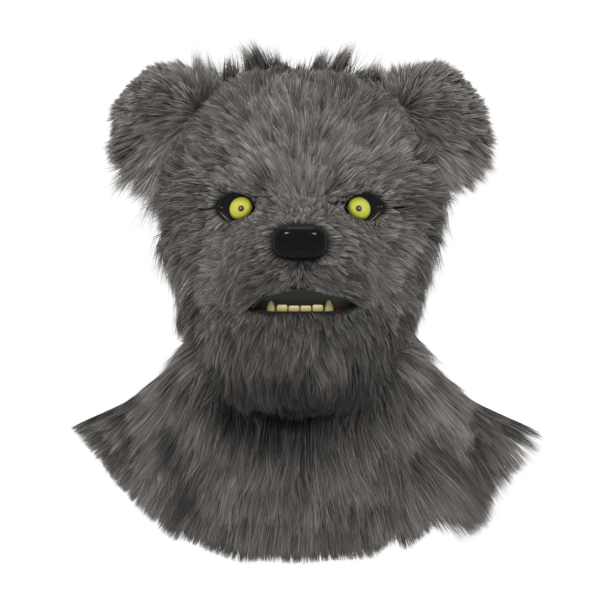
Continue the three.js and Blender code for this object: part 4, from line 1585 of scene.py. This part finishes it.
    def head_lengths(self, points: Array, places: Array, angles: Array, flows: Array) -> Array:
        """Returns how long the strands of the head are: short on the face and clear of the mouth.

        Args:
            points: The roots.
            places: Their ring places.
            angles: Their angles.
            flows: How the fur is combed there.

        Returns:
            One length a strand.
        """
        face = smooth(np.cos(angles), 0.3, 0.85) * smooth(places, 2.4, 4.5) * (1 - smooth(places, 7.4, 8.8))
        lengths = blend(self.long, self.short, face)
        across, drop = np.abs(points[:, 0]), -points[:, 2]
        nose, mouth = self.form.nose_drop, self.form.mouth_drop
        ahead = points[:, 1] < MUZZLE
        over_lip = band(drop, (nose + 8, nose + 22), (mouth + 6, mouth + 20))
        over_lip = over_lip * smooth(across, 10, 22) * (1 - smooth(across, 55, 80)) * ahead
        lengths = blend(lengths, self.moustache, over_lip)
        under_nose = smooth(drop, nose + 10, nose + 16) * (1 - smooth(across, 12, 26)) * ahead
        lengths = blend(lengths, self.philtrum, under_nose)
        eye, _ = self.eye_distance(points)
        lengths = lengths * blend(0.3, 1, smooth(eye, 0.95, 2.2))
        lengths = lengths * blend(0.35, 1, smooth(self.nose_distance(points), 0.95, 2.2))
        above = points[:, 2] - self.form.mouth_edge(points[:, 0], True)
        central = (points[:, 0] > self.mouth_left + 2) & (points[:, 0] < self.mouth_right - 2)
        near = (above > 0) & central & ahead
        room = (above + 1.5) / np.maximum(-flows[:, 2], 0.12)
        return np.where(near, np.minimum(lengths, np.maximum(room, 3)), lengths)

    def head_lifts(self, points: Array, places: Array, angles: Array) -> Array:
        """Returns how far the strands lift off: most under the ears and on the crown.

        Args:
            points: The roots.
            places: Their ring places.
            angles: Their angles.

        Returns:
            One lift a strand, as a share of its length.
        """
        temple = between(TEMPLE_LIFTS, points[:, 2]) * smooth(np.abs(np.sin(angles)), 0.75, 0.98)
        crown = 1 - smooth(places, 1.2, 3.2)
        face = self.form.face_share(places, angles)
        return self.lift + temple + self.crown_lift * crown - self.face_lift * face

    def head_tones(self, points: Array) -> Array:
        """Returns the tones of the head's fur.

        It is darker under the nose, partly its own colour and partly painted shade from the muzzle; it
        carries painted shade beside the mouth's corners, is darker in a patch of the forehead, and carries
        painted light at the sides.

        Args:
            points: The roots.

        Returns:
            One tone a strand.
        """
        across, drop = np.abs(points[:, 0]), -points[:, 2]
        ahead = points[:, 1] < CHEEKS
        nose, mouth = self.form.nose_drop, self.form.mouth_drop
        # under the nose: partly the fur's own darker colour and partly painted shade from the muzzle
        lip = band(drop, (nose + 10, nose + 20), (mouth, mouth + 12))
        lip = lip * (1 - 0.5 * smooth(across, 20, 30) - 0.5 * smooth(across, 36, 60))
        # painted shade in the creases beside the mouth's corners
        crease = np.exp(-(((drop - mouth - 1) / 4.5) ** 2))
        crease = crease * smooth(across, 38, 50) * (1 - smooth(across, 72, 92))
        # painted light: the sides of the head are made lighter
        side = 0.2 * smooth(across, 40, 85) + 0.25 * smooth(across, 66, 88) * smooth(drop, 165, 200)
        side = side * (1 - smooth(drop, 205, 228))
        brow = np.exp(-(((points[:, 0] - 10) / 20) ** 2) - ((drop - 58) / 9) ** 2)
        shade = self.lip_shade * lip + self.corner_shade * crease + self.brow_shade * brow
        return (self.head_tone + side) * (1 - ahead * shade)

    def walker(self, places: Array, angles: Array, flow: Flow) -> Walk:
        """Returns what leads strands from these roots over the form, as the fur there is combed.

        Args:
            places: The ring places of the roots.
            angles: Their angles.
            flow: Says how the fur is combed at a point.

        Returns:
            A function that takes the roots and the steps along a strand.
        """

        def walk(roots: Roots, steps: Array) -> tuple[Array, Array]:
            """Returns the points under each strand at the steps, and how the form faces there.

            Args:
                roots: The roots, as combed.
                steps: Shares of a strand's length.

            Returns:
                Points and unit vectors, one row of each a strand.
            """
            place, angle, heading = places, angles, roots.flows
            grounds, facings = [roots.points], [roots.normals]
            plain = self.square(flow(roots.points), roots.normals)
            sway = (roots.flows * np.cross(roots.normals, plain)).sum(axis=1)
            for first, second in zip(steps, steps[1:]):
                move = heading * (roots.lengths * (second - first))[:, None]
                old = self.form.point(place, angle)
                place, angle = self.form.step(place, angle, move)
                facing = self.form.normal(place, angle)
                reached = self.form.point(place, angle)
                missing = move - (reached - old)
                on_form = np.linalg.norm(missing, axis=1) < np.linalg.norm(move, axis=1)
                hanging = place > HEM - self.hem_margin
                on_form &= ~hanging
                lift = self.form.pile_at(place, angle) * LYING
                straight = grounds[-1] + move * np.where(hanging, 1, self.off_form)[:, None]
                ahead = np.where(on_form[:, None], reached + facing * lift[:, None], straight)
                combed = self.square(flow(ahead), facing)
                combed = unit(combed + np.cross(facing, combed) * sway[:, None])
                heading = np.where(on_form[:, None], combed, heading)
                grounds.append(ahead)
                facings.append(np.where(on_form[:, None], facing, facings[-1]))
            return np.stack(grounds, axis=1), np.stack(facings, axis=1)

        return walk

    def square(self, flows: Array, normals: Array) -> Array:
        """Returns the flows laid flat on the form."""
        return unit(flows - normals * (flows * normals).sum(axis=1, keepdims=True))

    def lay(self, places: Array, angles: Array, flow: Flow) -> tuple[Array, Array, Array]:
        """Returns root points, normals and flows square to them.

        Args:
            places: The ring places of the roots.
            angles: Their angles.
            flow: Says how the fur is combed at a point.

        Returns:
            Points, normals and flows, one of each a root.
        """
        lift = self.form.pile_at(places, angles) * LYING
        points = self.form.lifted(places, angles, lift)
        normals = self.form.normal(places, angles)
        return points, normals, self.square(flow(points), normals)

    def clear(self, hair: Hair) -> Array:
        """Returns which strands end clear of eyes and mouth.

        Args:
            hair: The strands.

        Returns:
            One flag a strand.
        """
        tips = hair.corners[:, -1]
        middles = hair.corners[:, 2]
        free = (self.eye_distance(tips)[0] > 0.86) & (self.eye_distance(middles)[0] > 0.8)
        central = (tips[:, 0] > self.mouth_left) & (tips[:, 0] < self.mouth_right)
        return free & ~(central & (self.in_mouth(tips, 1.5) | self.in_mouth(middles, 1)))

    def head(self, seed: int) -> None:
        """Grows the fur of the head, in three pieces without a parting between them.

        Args:
            seed: Fixes where its strands root and sway.
        """
        rng = np.random.default_rng(seed)
        places, angles = self.scatter(HEAD, rng, self.head_keep)
        points, normals, flows = self.lay(places, angles, self.head_flow)
        lengths = self.head_lengths(points, places, angles, flows)
        lifts = self.head_lifts(points, places, angles)
        roots = Roots(points, normals, flows, lengths, lifts, self.head_tones(points))
        hair = Strands().grow(roots, seed, self.walker(places, angles, self.head_flow))
        free = self.clear(hair)
        behind = np.abs(angles) > np.pi / 2
        hair.piece("fur_face_left", "head_fur", free & ~behind & (angles < 0))
        hair.piece("fur_face_right", "head_fur", free & ~behind & (angles >= 0))
        hair.piece("fur_head_back", "head_fur", free & behind)

    def jaw_panel(self, seed: int) -> None:
        """Grows the fur of the jaw, down over the chin from the lower lip, with painted shade that is
        deepest in the middle below and painted light at its sides.

        Args:
            seed: Fixes where its strands root and sway.
        """
        rng = np.random.default_rng(seed)

        def keep(places: Array, angles: Array) -> Array:
            """Returns 1 on the jaw panel and outside the mouth.

            Args:
                places: Ring places.
                angles: Radians from the front.

            Returns:
                One share a root.
            """
            points = self.form.point(places, angles)
            return (self.form.in_jaw(points) & ~self.in_mouth(points, 1.2)).astype(float)

        places, angles = self.scatter(JAW, rng, keep)
        points, normals, flows = self.lay(places, angles, self.head_flow)
        drop = -points[:, 2] - self.form.mouth_drop
        lengths = blend(self.short * 0.4, self.jaw, smooth(drop, 8, 36))
        lengths = blend(lengths, self.jaw * 0.7, smooth(drop, 60, 90))
        # painted shade under the jaw, deepest low in the middle, and painted light towards its sides
        tones = blend(0.56, 0.3, smooth(drop, 18, 62)) * blend(1, 0.6, smooth(drop, 68, 96))
        tones = tones * (1 + 0.6 * smooth(np.abs(points[:, 0]), 30, 66))
        roots = Roots(points, normals, flows, lengths, np.full(len(points), self.jaw_lift), tones)
        hair = Strands(droop=0.1).grow(roots, seed, self.walker(places, angles, self.head_flow))
        hair.piece("fur_jaw", "jaw_fur", self.clear(hair))

    def cape_fur(self, seed: int) -> None:
        """Grows the fur of the cape, which ends below the hem.

        Args:
            seed: Fixes where its strands root and sway.
        """
        rng = np.random.default_rng(seed)

        def keep(places: Array, angles: Array) -> Array:
            """Returns the share to keep: less behind, none on the jaw or far into the bites of the hem.

            Args:
                places: Ring places.
                angles: Radians from the front.

            Returns:
                One share a root.
            """
            points = self.form.point(places, angles)
            bitten = self.bite_share * self.form.bite(points[:, 0]) * (np.cos(angles) > 0)
            whole = places < HEM - bitten
            share = 0.5 + 0.5 * smooth(np.cos(angles), -0.3, 0.1)
            return np.where(whole & ~self.form.in_jaw(points), share, 0.0)

        places, angles = self.scatter(CAPE, rng, keep)
        points, normals, flows = self.lay(places, angles, self.cape_flow)
        lengths = self.cape_lengths(points, places, angles, rng)
        lifts = blend(self.cape_lift, self.shoulder_lift, smooth(np.abs(points[:, 0]), 80, 130))
        roots = Roots(points, normals, flows, lengths, lifts, self.cape_tones(points))
        strands = Strands(width=0.56, sway=0.18, pull=0.42, ragged=0.05)
        hair = strands.grow(roots, seed, self.walker(places, angles, self.cape_flow))
        behind = np.abs(angles) > np.pi / 2
        hair.piece("fur_cape_front", "cape_fur", ~behind)
        hair.piece("fur_cape_back", "cape_fur", behind)

    def cape_lengths(self, points: Array, places: Array, angles: Array, rng: np.random.Generator) -> Array:
        """Returns how long the strands of the cape are, so that they end at the hem's line in front.

        Args:
            points: The roots.
            places: Their ring places.
            angles: Their angles.
            rng: The source of chance.

        Returns:
            One length a strand.
        """
        hem = self.form.point(np.full_like(places, HEM), angles)
        behind = np.linalg.norm(hem - points, axis=1) + self.hem_reach * rng.uniform(0.4, 1, len(points))
        way = unit(self.cape_flow(points))
        room = np.full(len(points), 20.0)
        for _ in range(8):
            line = hem_height(points[:, 0] + way[:, 0] * room)
            room = 0.4 * room + 0.6 * np.clip((points[:, 2] - line) / -way[:, 2], *self.cape_room)
        ends = np.where(way[:, 0] < 0, HEM_LINE[0].across, HEM_LINE[-1].across)
        sideways = np.copysign(np.maximum(np.abs(way[:, 0]), 0.02), way[:, 0])
        aside = (ends - points[:, 0]) / sideways
        room = room * rng.uniform(0.94, 1.0, len(points))
        ragged = smooth(points[:, 0], 55, 100) * smooth(-points[:, 2], 285, 310)
        longest = blend(self.cape, self.cape_right, ragged)
        longest = np.minimum(longest, np.maximum(aside, 4))
        return np.minimum(longest, np.where(np.cos(angles) > 0, room, behind))

    def cape_flow(self, points: Array) -> Array:
        """Returns how the cape is combed: down, and outwards over the shoulders."""
        return DOWN + np.array([self.cape_spread, 0, 0]) * points

    def cape_tones(self, points: Array) -> Array:
        """Returns the tones of the cape's fur.

        It carries painted shade: the shadow that the jaw throws round the chin, and shade in its
        creases and along the hem on the left; the sides of the neck carry painted light.

        Args:
            points: The roots.

        Returns:
            One tone a strand.
        """
        front = points[:, 1] < FRONT_HALF
        seen = points[:, [0, 2]]
        from_chin = (seen - np.array(self.chin_middle)) / np.array(self.chin_size)
        round_chin = np.hypot(from_chin[:, 0], from_chin[:, 1])
        # painted shadow that the jaw throws on the cape
        chin = np.exp(-(((round_chin - 0.96) / 0.19) ** 2)) * smooth(-seen[:, 1], 228, 254)
        shade = self.chin_shade * chin * (1 - 0.35 * smooth(seen[:, 0], 20, 60))
        # painted shade along the creases
        for crease in CREASES:
            top, run = np.array(crease.top), np.array(crease.bottom) - np.array(crease.top)
            share = np.clip(((seen - top) @ run) / (run @ run), 0, 1)[:, None]
            away = np.linalg.norm(seen - top - share * run, axis=1) / crease.half_width
            shade = shade + crease.shade * np.exp(-(away**2))
        # painted shade along the hem on the left
        shade = shade + self.hem_shade * smooth(-seen[:, 1], 335, 362) * (1 - smooth(seen[:, 0], 20, 80))
        # painted light at the sides of the neck
        neck = smooth(np.abs(seen[:, 0]), 56, 90) * (1 - smooth(-seen[:, 1], 260, 310))
        shade = np.clip(shade, 0, self.deepest_shade)
        return (self.cape_tone + self.neck_painted_light * neck) * (1 - front * shade)

    def wisps(self, seed: int) -> None:
        """Grows the wisps that stand up along the crown seam.

        Args:
            seed: Fixes where its strands root and sway.
        """
        rng = np.random.default_rng(seed)
        rows: list[list[Array]] = [[], [], [], []]
        for wisp in CROWN_WISPS:
            places = np.linspace(0, 4, 60)
            crest = self.form.point(places, np.full(60, np.pi / 2))[:, 0]
            place = np.interp([abs(wisp.root)], crest, places)
            foot = self.form.lifted(place, np.array([np.copysign(np.pi / 2, wisp.root)]), 2)[0]
            tip = np.array([wisp.tip, foot[1] - 2, wisp.top])
            spread = rng.normal(0, wisp.radius / 2, (wisp.count, 3)) * np.array([1, 1.4, 0.3])
            away = tip + rng.normal(0, 4, (wisp.count, 3)) - foot - spread * 0.5
            rows[0].append(foot + spread)
            rows[1].append(np.tile(unit(np.cross(tip - foot, np.array([0.0, 1, 0]))), (wisp.count, 1)))
            rows[2].append(unit(away))
            rows[3].append(np.linalg.norm(away, axis=1) * rng.uniform(0.5, 1.05, wisp.count))
        points, normals, flows, lengths = (np.concatenate(row) for row in rows)
        roots = Roots(points, normals, flows, lengths, np.zeros(len(points)), np.ones(len(points)))
        strands = Strands(width=0.66, sway=0.2, bend=0, droop=0, lock=300, clump=30, pull=0.8)
        hair = strands.grow(roots, seed)
        hair.piece("fur_crown_wisps", "head_fur", np.ones(len(points), bool))

    def build(self) -> None:
        """Grows all the fur of head, jaw and cape."""
        self.head(seed=11)
        self.jaw_panel(seed=21)
        self.cape_fur(seed=31)
        self.wisps(seed=41)


EAR_REACH = (  # degrees from straight outwards, up being positive, and the length of the strands there
    (-180, 24),
    (-120, 30),
    (-90, 32),
    (-60, 28),
    (-30, 20),
    (0, 11),
    (30, 6),
    (60, 6.5),
    (80, 11),
    (110, 16),
    (140, 22),
    (180, 24),
)


@dataclass
class Ear:
    """A round cupped ear whose fur fans out from the head."""

    side: Side
    radius: float = 43
    thickness: float = 17
    cup: float = 12
    spacing: float = 222
    drop: float = 29
    setback: float = 6
    turn: float = 0.2
    strands: int = 16500
    rim_share: float = 0.24
    inner_length: float = 15
    back_share: float = 0.35  # of the strands that root on the back of the pad
    comb: tuple[float, float] = (0.8, -0.12)  # outwards and up, against fanning from the middle
    lift: float = 0.32
    seed: int = 50

    def seat(self) -> Seat:
        """Returns the ear's seat, with its third direction to the back."""
        turn = self.side.value * self.turn
        axes = np.array([[np.cos(turn), np.sin(turn), 0], [0, 0, 1], [-np.sin(turn), np.cos(turn), 0]])
        return Seat(np.array([self.side.value * self.spacing / 2, self.setback, -self.drop]), axes)

    def point(self, share: Array, turn: Array, back: Array) -> Array:
        """Returns points of the pad as rows of right, up and back.

        Args:
            share: Shares of the pad's radius.
            turn: Radians round its middle.
            back: Whether each point lies on the back of the pad.

        Returns:
            One point a row.
        """
        half = self.thickness / 2 * np.sqrt(np.clip(1 - share**4, 0, 1))
        depth = np.where(back, half, -half) - self.cup * share**2
        right, up = self.radius * share * np.cos(turn), self.radius * share * np.sin(turn)
        return np.stack([right, up, depth], axis=1)

    def facing(self, share: Array, turn: Array, back: Array) -> Array:
        """Returns how the pad faces, as rows of right, up and back.

        Args:
            share: Shares of the pad's radius.
            turn: Radians round its middle.
            back: Whether each point lies on the back of the pad.

        Returns:
            One unit vector a row.
        """
        small = 0.01
        share = np.clip(share, 0.05, 0.97)
        out = self.point(share + small, turn, back) - self.point(share - small, turn, back)
        round_ = self.point(share, turn + small, back) - self.point(share, turn - small, back)
        return unit(np.cross(out, round_)) * np.where(back, 1.0, -1.0)[:, None]

    def pad(self) -> None:
        """Makes the padded ear under its fur."""
        turn = turns(56)
        seat = self.seat()
        rings = []
        for back, shares in ((True, np.linspace(0, 1, 12)), (False, np.linspace(1, 0, 12)[1:])):
            for share in shares:
                angle = turn if share > 0 else turn[:1]
                rings.append(seat.place(self.point(np.full_like(angle, share), angle, np.array(back))))
        # the pad carries the same dark base, with painted shade under the ear's fur
        piece = put(f"ear_pad_{self.side.word}", *loft(rings), PELT_BASE_AND_SHADE)
        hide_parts(f"ear_{self.side.word}")

    def build(self) -> None:
        """Makes the pad and grows its fur."""
        self.pad()
        rng = np.random.default_rng(self.seed + self.side.value)
        share = np.sqrt(rng.random(self.strands))
        at_rim = rng.random(self.strands) < self.rim_share
        share = np.where(at_rim, rng.uniform(0.9, 1, self.strands), share)
        turn = rng.random(self.strands) * TAU
        back = rng.random(self.strands) < self.back_share
        seat = self.seat()
        local = self.point(share, turn, back)
        normals = self.facing(share, turn, back)
        radial = np.stack([np.cos(turn), np.sin(turn), 0 * turn], axis=1) * smooth(share, 0, 0.9)[:, None]
        outwards, upwards = self.comb
        combs = radial + np.array([outwards * self.side.value, upwards, 0])
        flows = unit(combs - normals * (combs * normals).sum(axis=1, keepdims=True))
        outward = np.degrees(np.arctan2(np.sin(turn), self.side.value * np.cos(turn)))
        lengths = blend(self.inner_length, between(EAR_REACH, outward), smooth(share, 0.3, 0.9))
        # painted shade deep in the cup of the ear, lighter towards its rim
        tones = np.where(back, 1.1, blend(0.76, 1.24, smooth(share, 0.2, 0.7)))
        lifts = np.full(self.strands, self.lift)
        roots = Roots(seat.place(local), normals @ seat.axes, flows @ seat.axes, lengths, lifts, tones)
        hair = Strands(bend=0.02, droop=0.12).grow(roots, seed=60)
        hair.piece(f"fur_ear_{self.side.word}", f"ear_{self.side.word}", np.ones(self.strands, bool))


@dataclass(frozen=True)
class Light:
    """A soft square light that looks at the face."""

    name: str
    place: tuple[float, float, float]
    power: float
    size: float


@dataclass
class Studio:
    """The pale floor, the soft light and the camera."""

    floor_height: float = -0.6
    floor_size: float = 4
    frame_width: float = 0.52
    ambient: float = 0.76
    distance: float = 5
    aim: tuple[float, float, float] = (0.0051, -0.05, -0.1887)
    lights: tuple[Light, ...] = (
        Light("key", (-0.55, -1.5, 0.9), 11.5, 0.25),
        Light("fill", (0.65, -1.5, 0.75), 9.5, 0.27),
        Light("top", (0.0, -0.2, 1.6), 6, 0.9),
    )

    def build(self) -> None:
        """Builds the floor, the lights, the world and the camera."""
        self.floor()
        for light in self.lights:
            self.light(light)
        world = bpy.data.worlds.new("white room")
        world.use_nodes = True
        nodes, links = world.node_tree.nodes, world.node_tree.links
        sky = nodes["Background"]
        sky.inputs["Color"].default_value = (1, 1, 1, 1)
        ray = nodes.new("ShaderNodeLightPath")
        strength = nodes.new("ShaderNodeMapRange")
        strength.inputs["To Min"].default_value = self.ambient
        links.new(ray.outputs["Is Camera Ray"], strength.inputs["Value"])
        links.new(strength.outputs["Result"], sky.inputs["Strength"])
        bpy.context.scene.world = world
        bpy.context.scene.view_settings.view_transform = "Standard"
        self.camera()
        log.info("studio: %d lights", len(self.lights))

    def floor(self) -> None:
        """Lays the floor well below the mask, which is shown as it hangs on a head."""
        half = self.floor_size / 2
        mesh = bpy.data.meshes.new("floor")
        corners = [(x * half, y * half, self.floor_height) for x, y in ((-1, -1), (1, -1), (1, 1), (-1, 1))]
        mesh.from_pydata(corners, [], [(0, 1, 2, 3)])
        mesh.materials.append(Finish("pale floor", "floor", (0.8, 0.8, 0.8), 0.8, 0.2).material())
        floor = bpy.data.objects.new("floor", mesh)
        bpy.context.scene.collection.objects.link(floor)
        floor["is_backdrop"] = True

    def light(self, light: Light) -> None:
        """Hangs one light, aimed at the mask.

        Args:
            light: Its place, power and size.
        """
        lamp = bpy.data.lights.new(light.name, "AREA")
        lamp.energy = light.power
        lamp.size = light.size
        lamp_object = bpy.data.objects.new(light.name, lamp)
        lamp_object.location = light.place
        aim = Vector(self.aim) - Vector(light.place)
        lamp_object.rotation_euler = aim.to_track_quat("-Z", "Y").to_euler()
        bpy.context.scene.collection.objects.link(lamp_object)

    def camera(self) -> None:
        """Sets the camera far in front of the face, level with the middle of the picture."""
        lens = bpy.data.cameras.new("front")
        lens.sensor_width = 36
        lens.lens = lens.sensor_width * MM * self.distance / self.frame_width / MM
        lens.clip_end = 50
        camera = bpy.data.objects.new("front", lens)
        camera.location = Vector(self.aim) + Vector((0, -self.distance, 0))
        camera.rotation_euler = (np.pi / 2, 0, 0)
        bpy.context.scene.collection.objects.link(camera)
        bpy.context.scene.camera = camera


def reach() -> list[list[float]]:
    """Returns the lowest and highest corner of what is shown, as plain lists."""
    return [[float(value) for value in corner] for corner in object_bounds()]


def main() -> None:
    """Builds the mask and its studio, and logs the walls, the face, each piece of fur and the studio."""
    logging.basicConfig(level=logging.INFO, format="%(message)s")
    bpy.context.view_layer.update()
    form = Form()
    face = Face(form)
    Skin(form).build(face)
    face.build()
    Pelt(form, face).build()
    for side in Side:
        Ear(side).build()
    Studio().build()


if __name__ == "__main__":
    main()
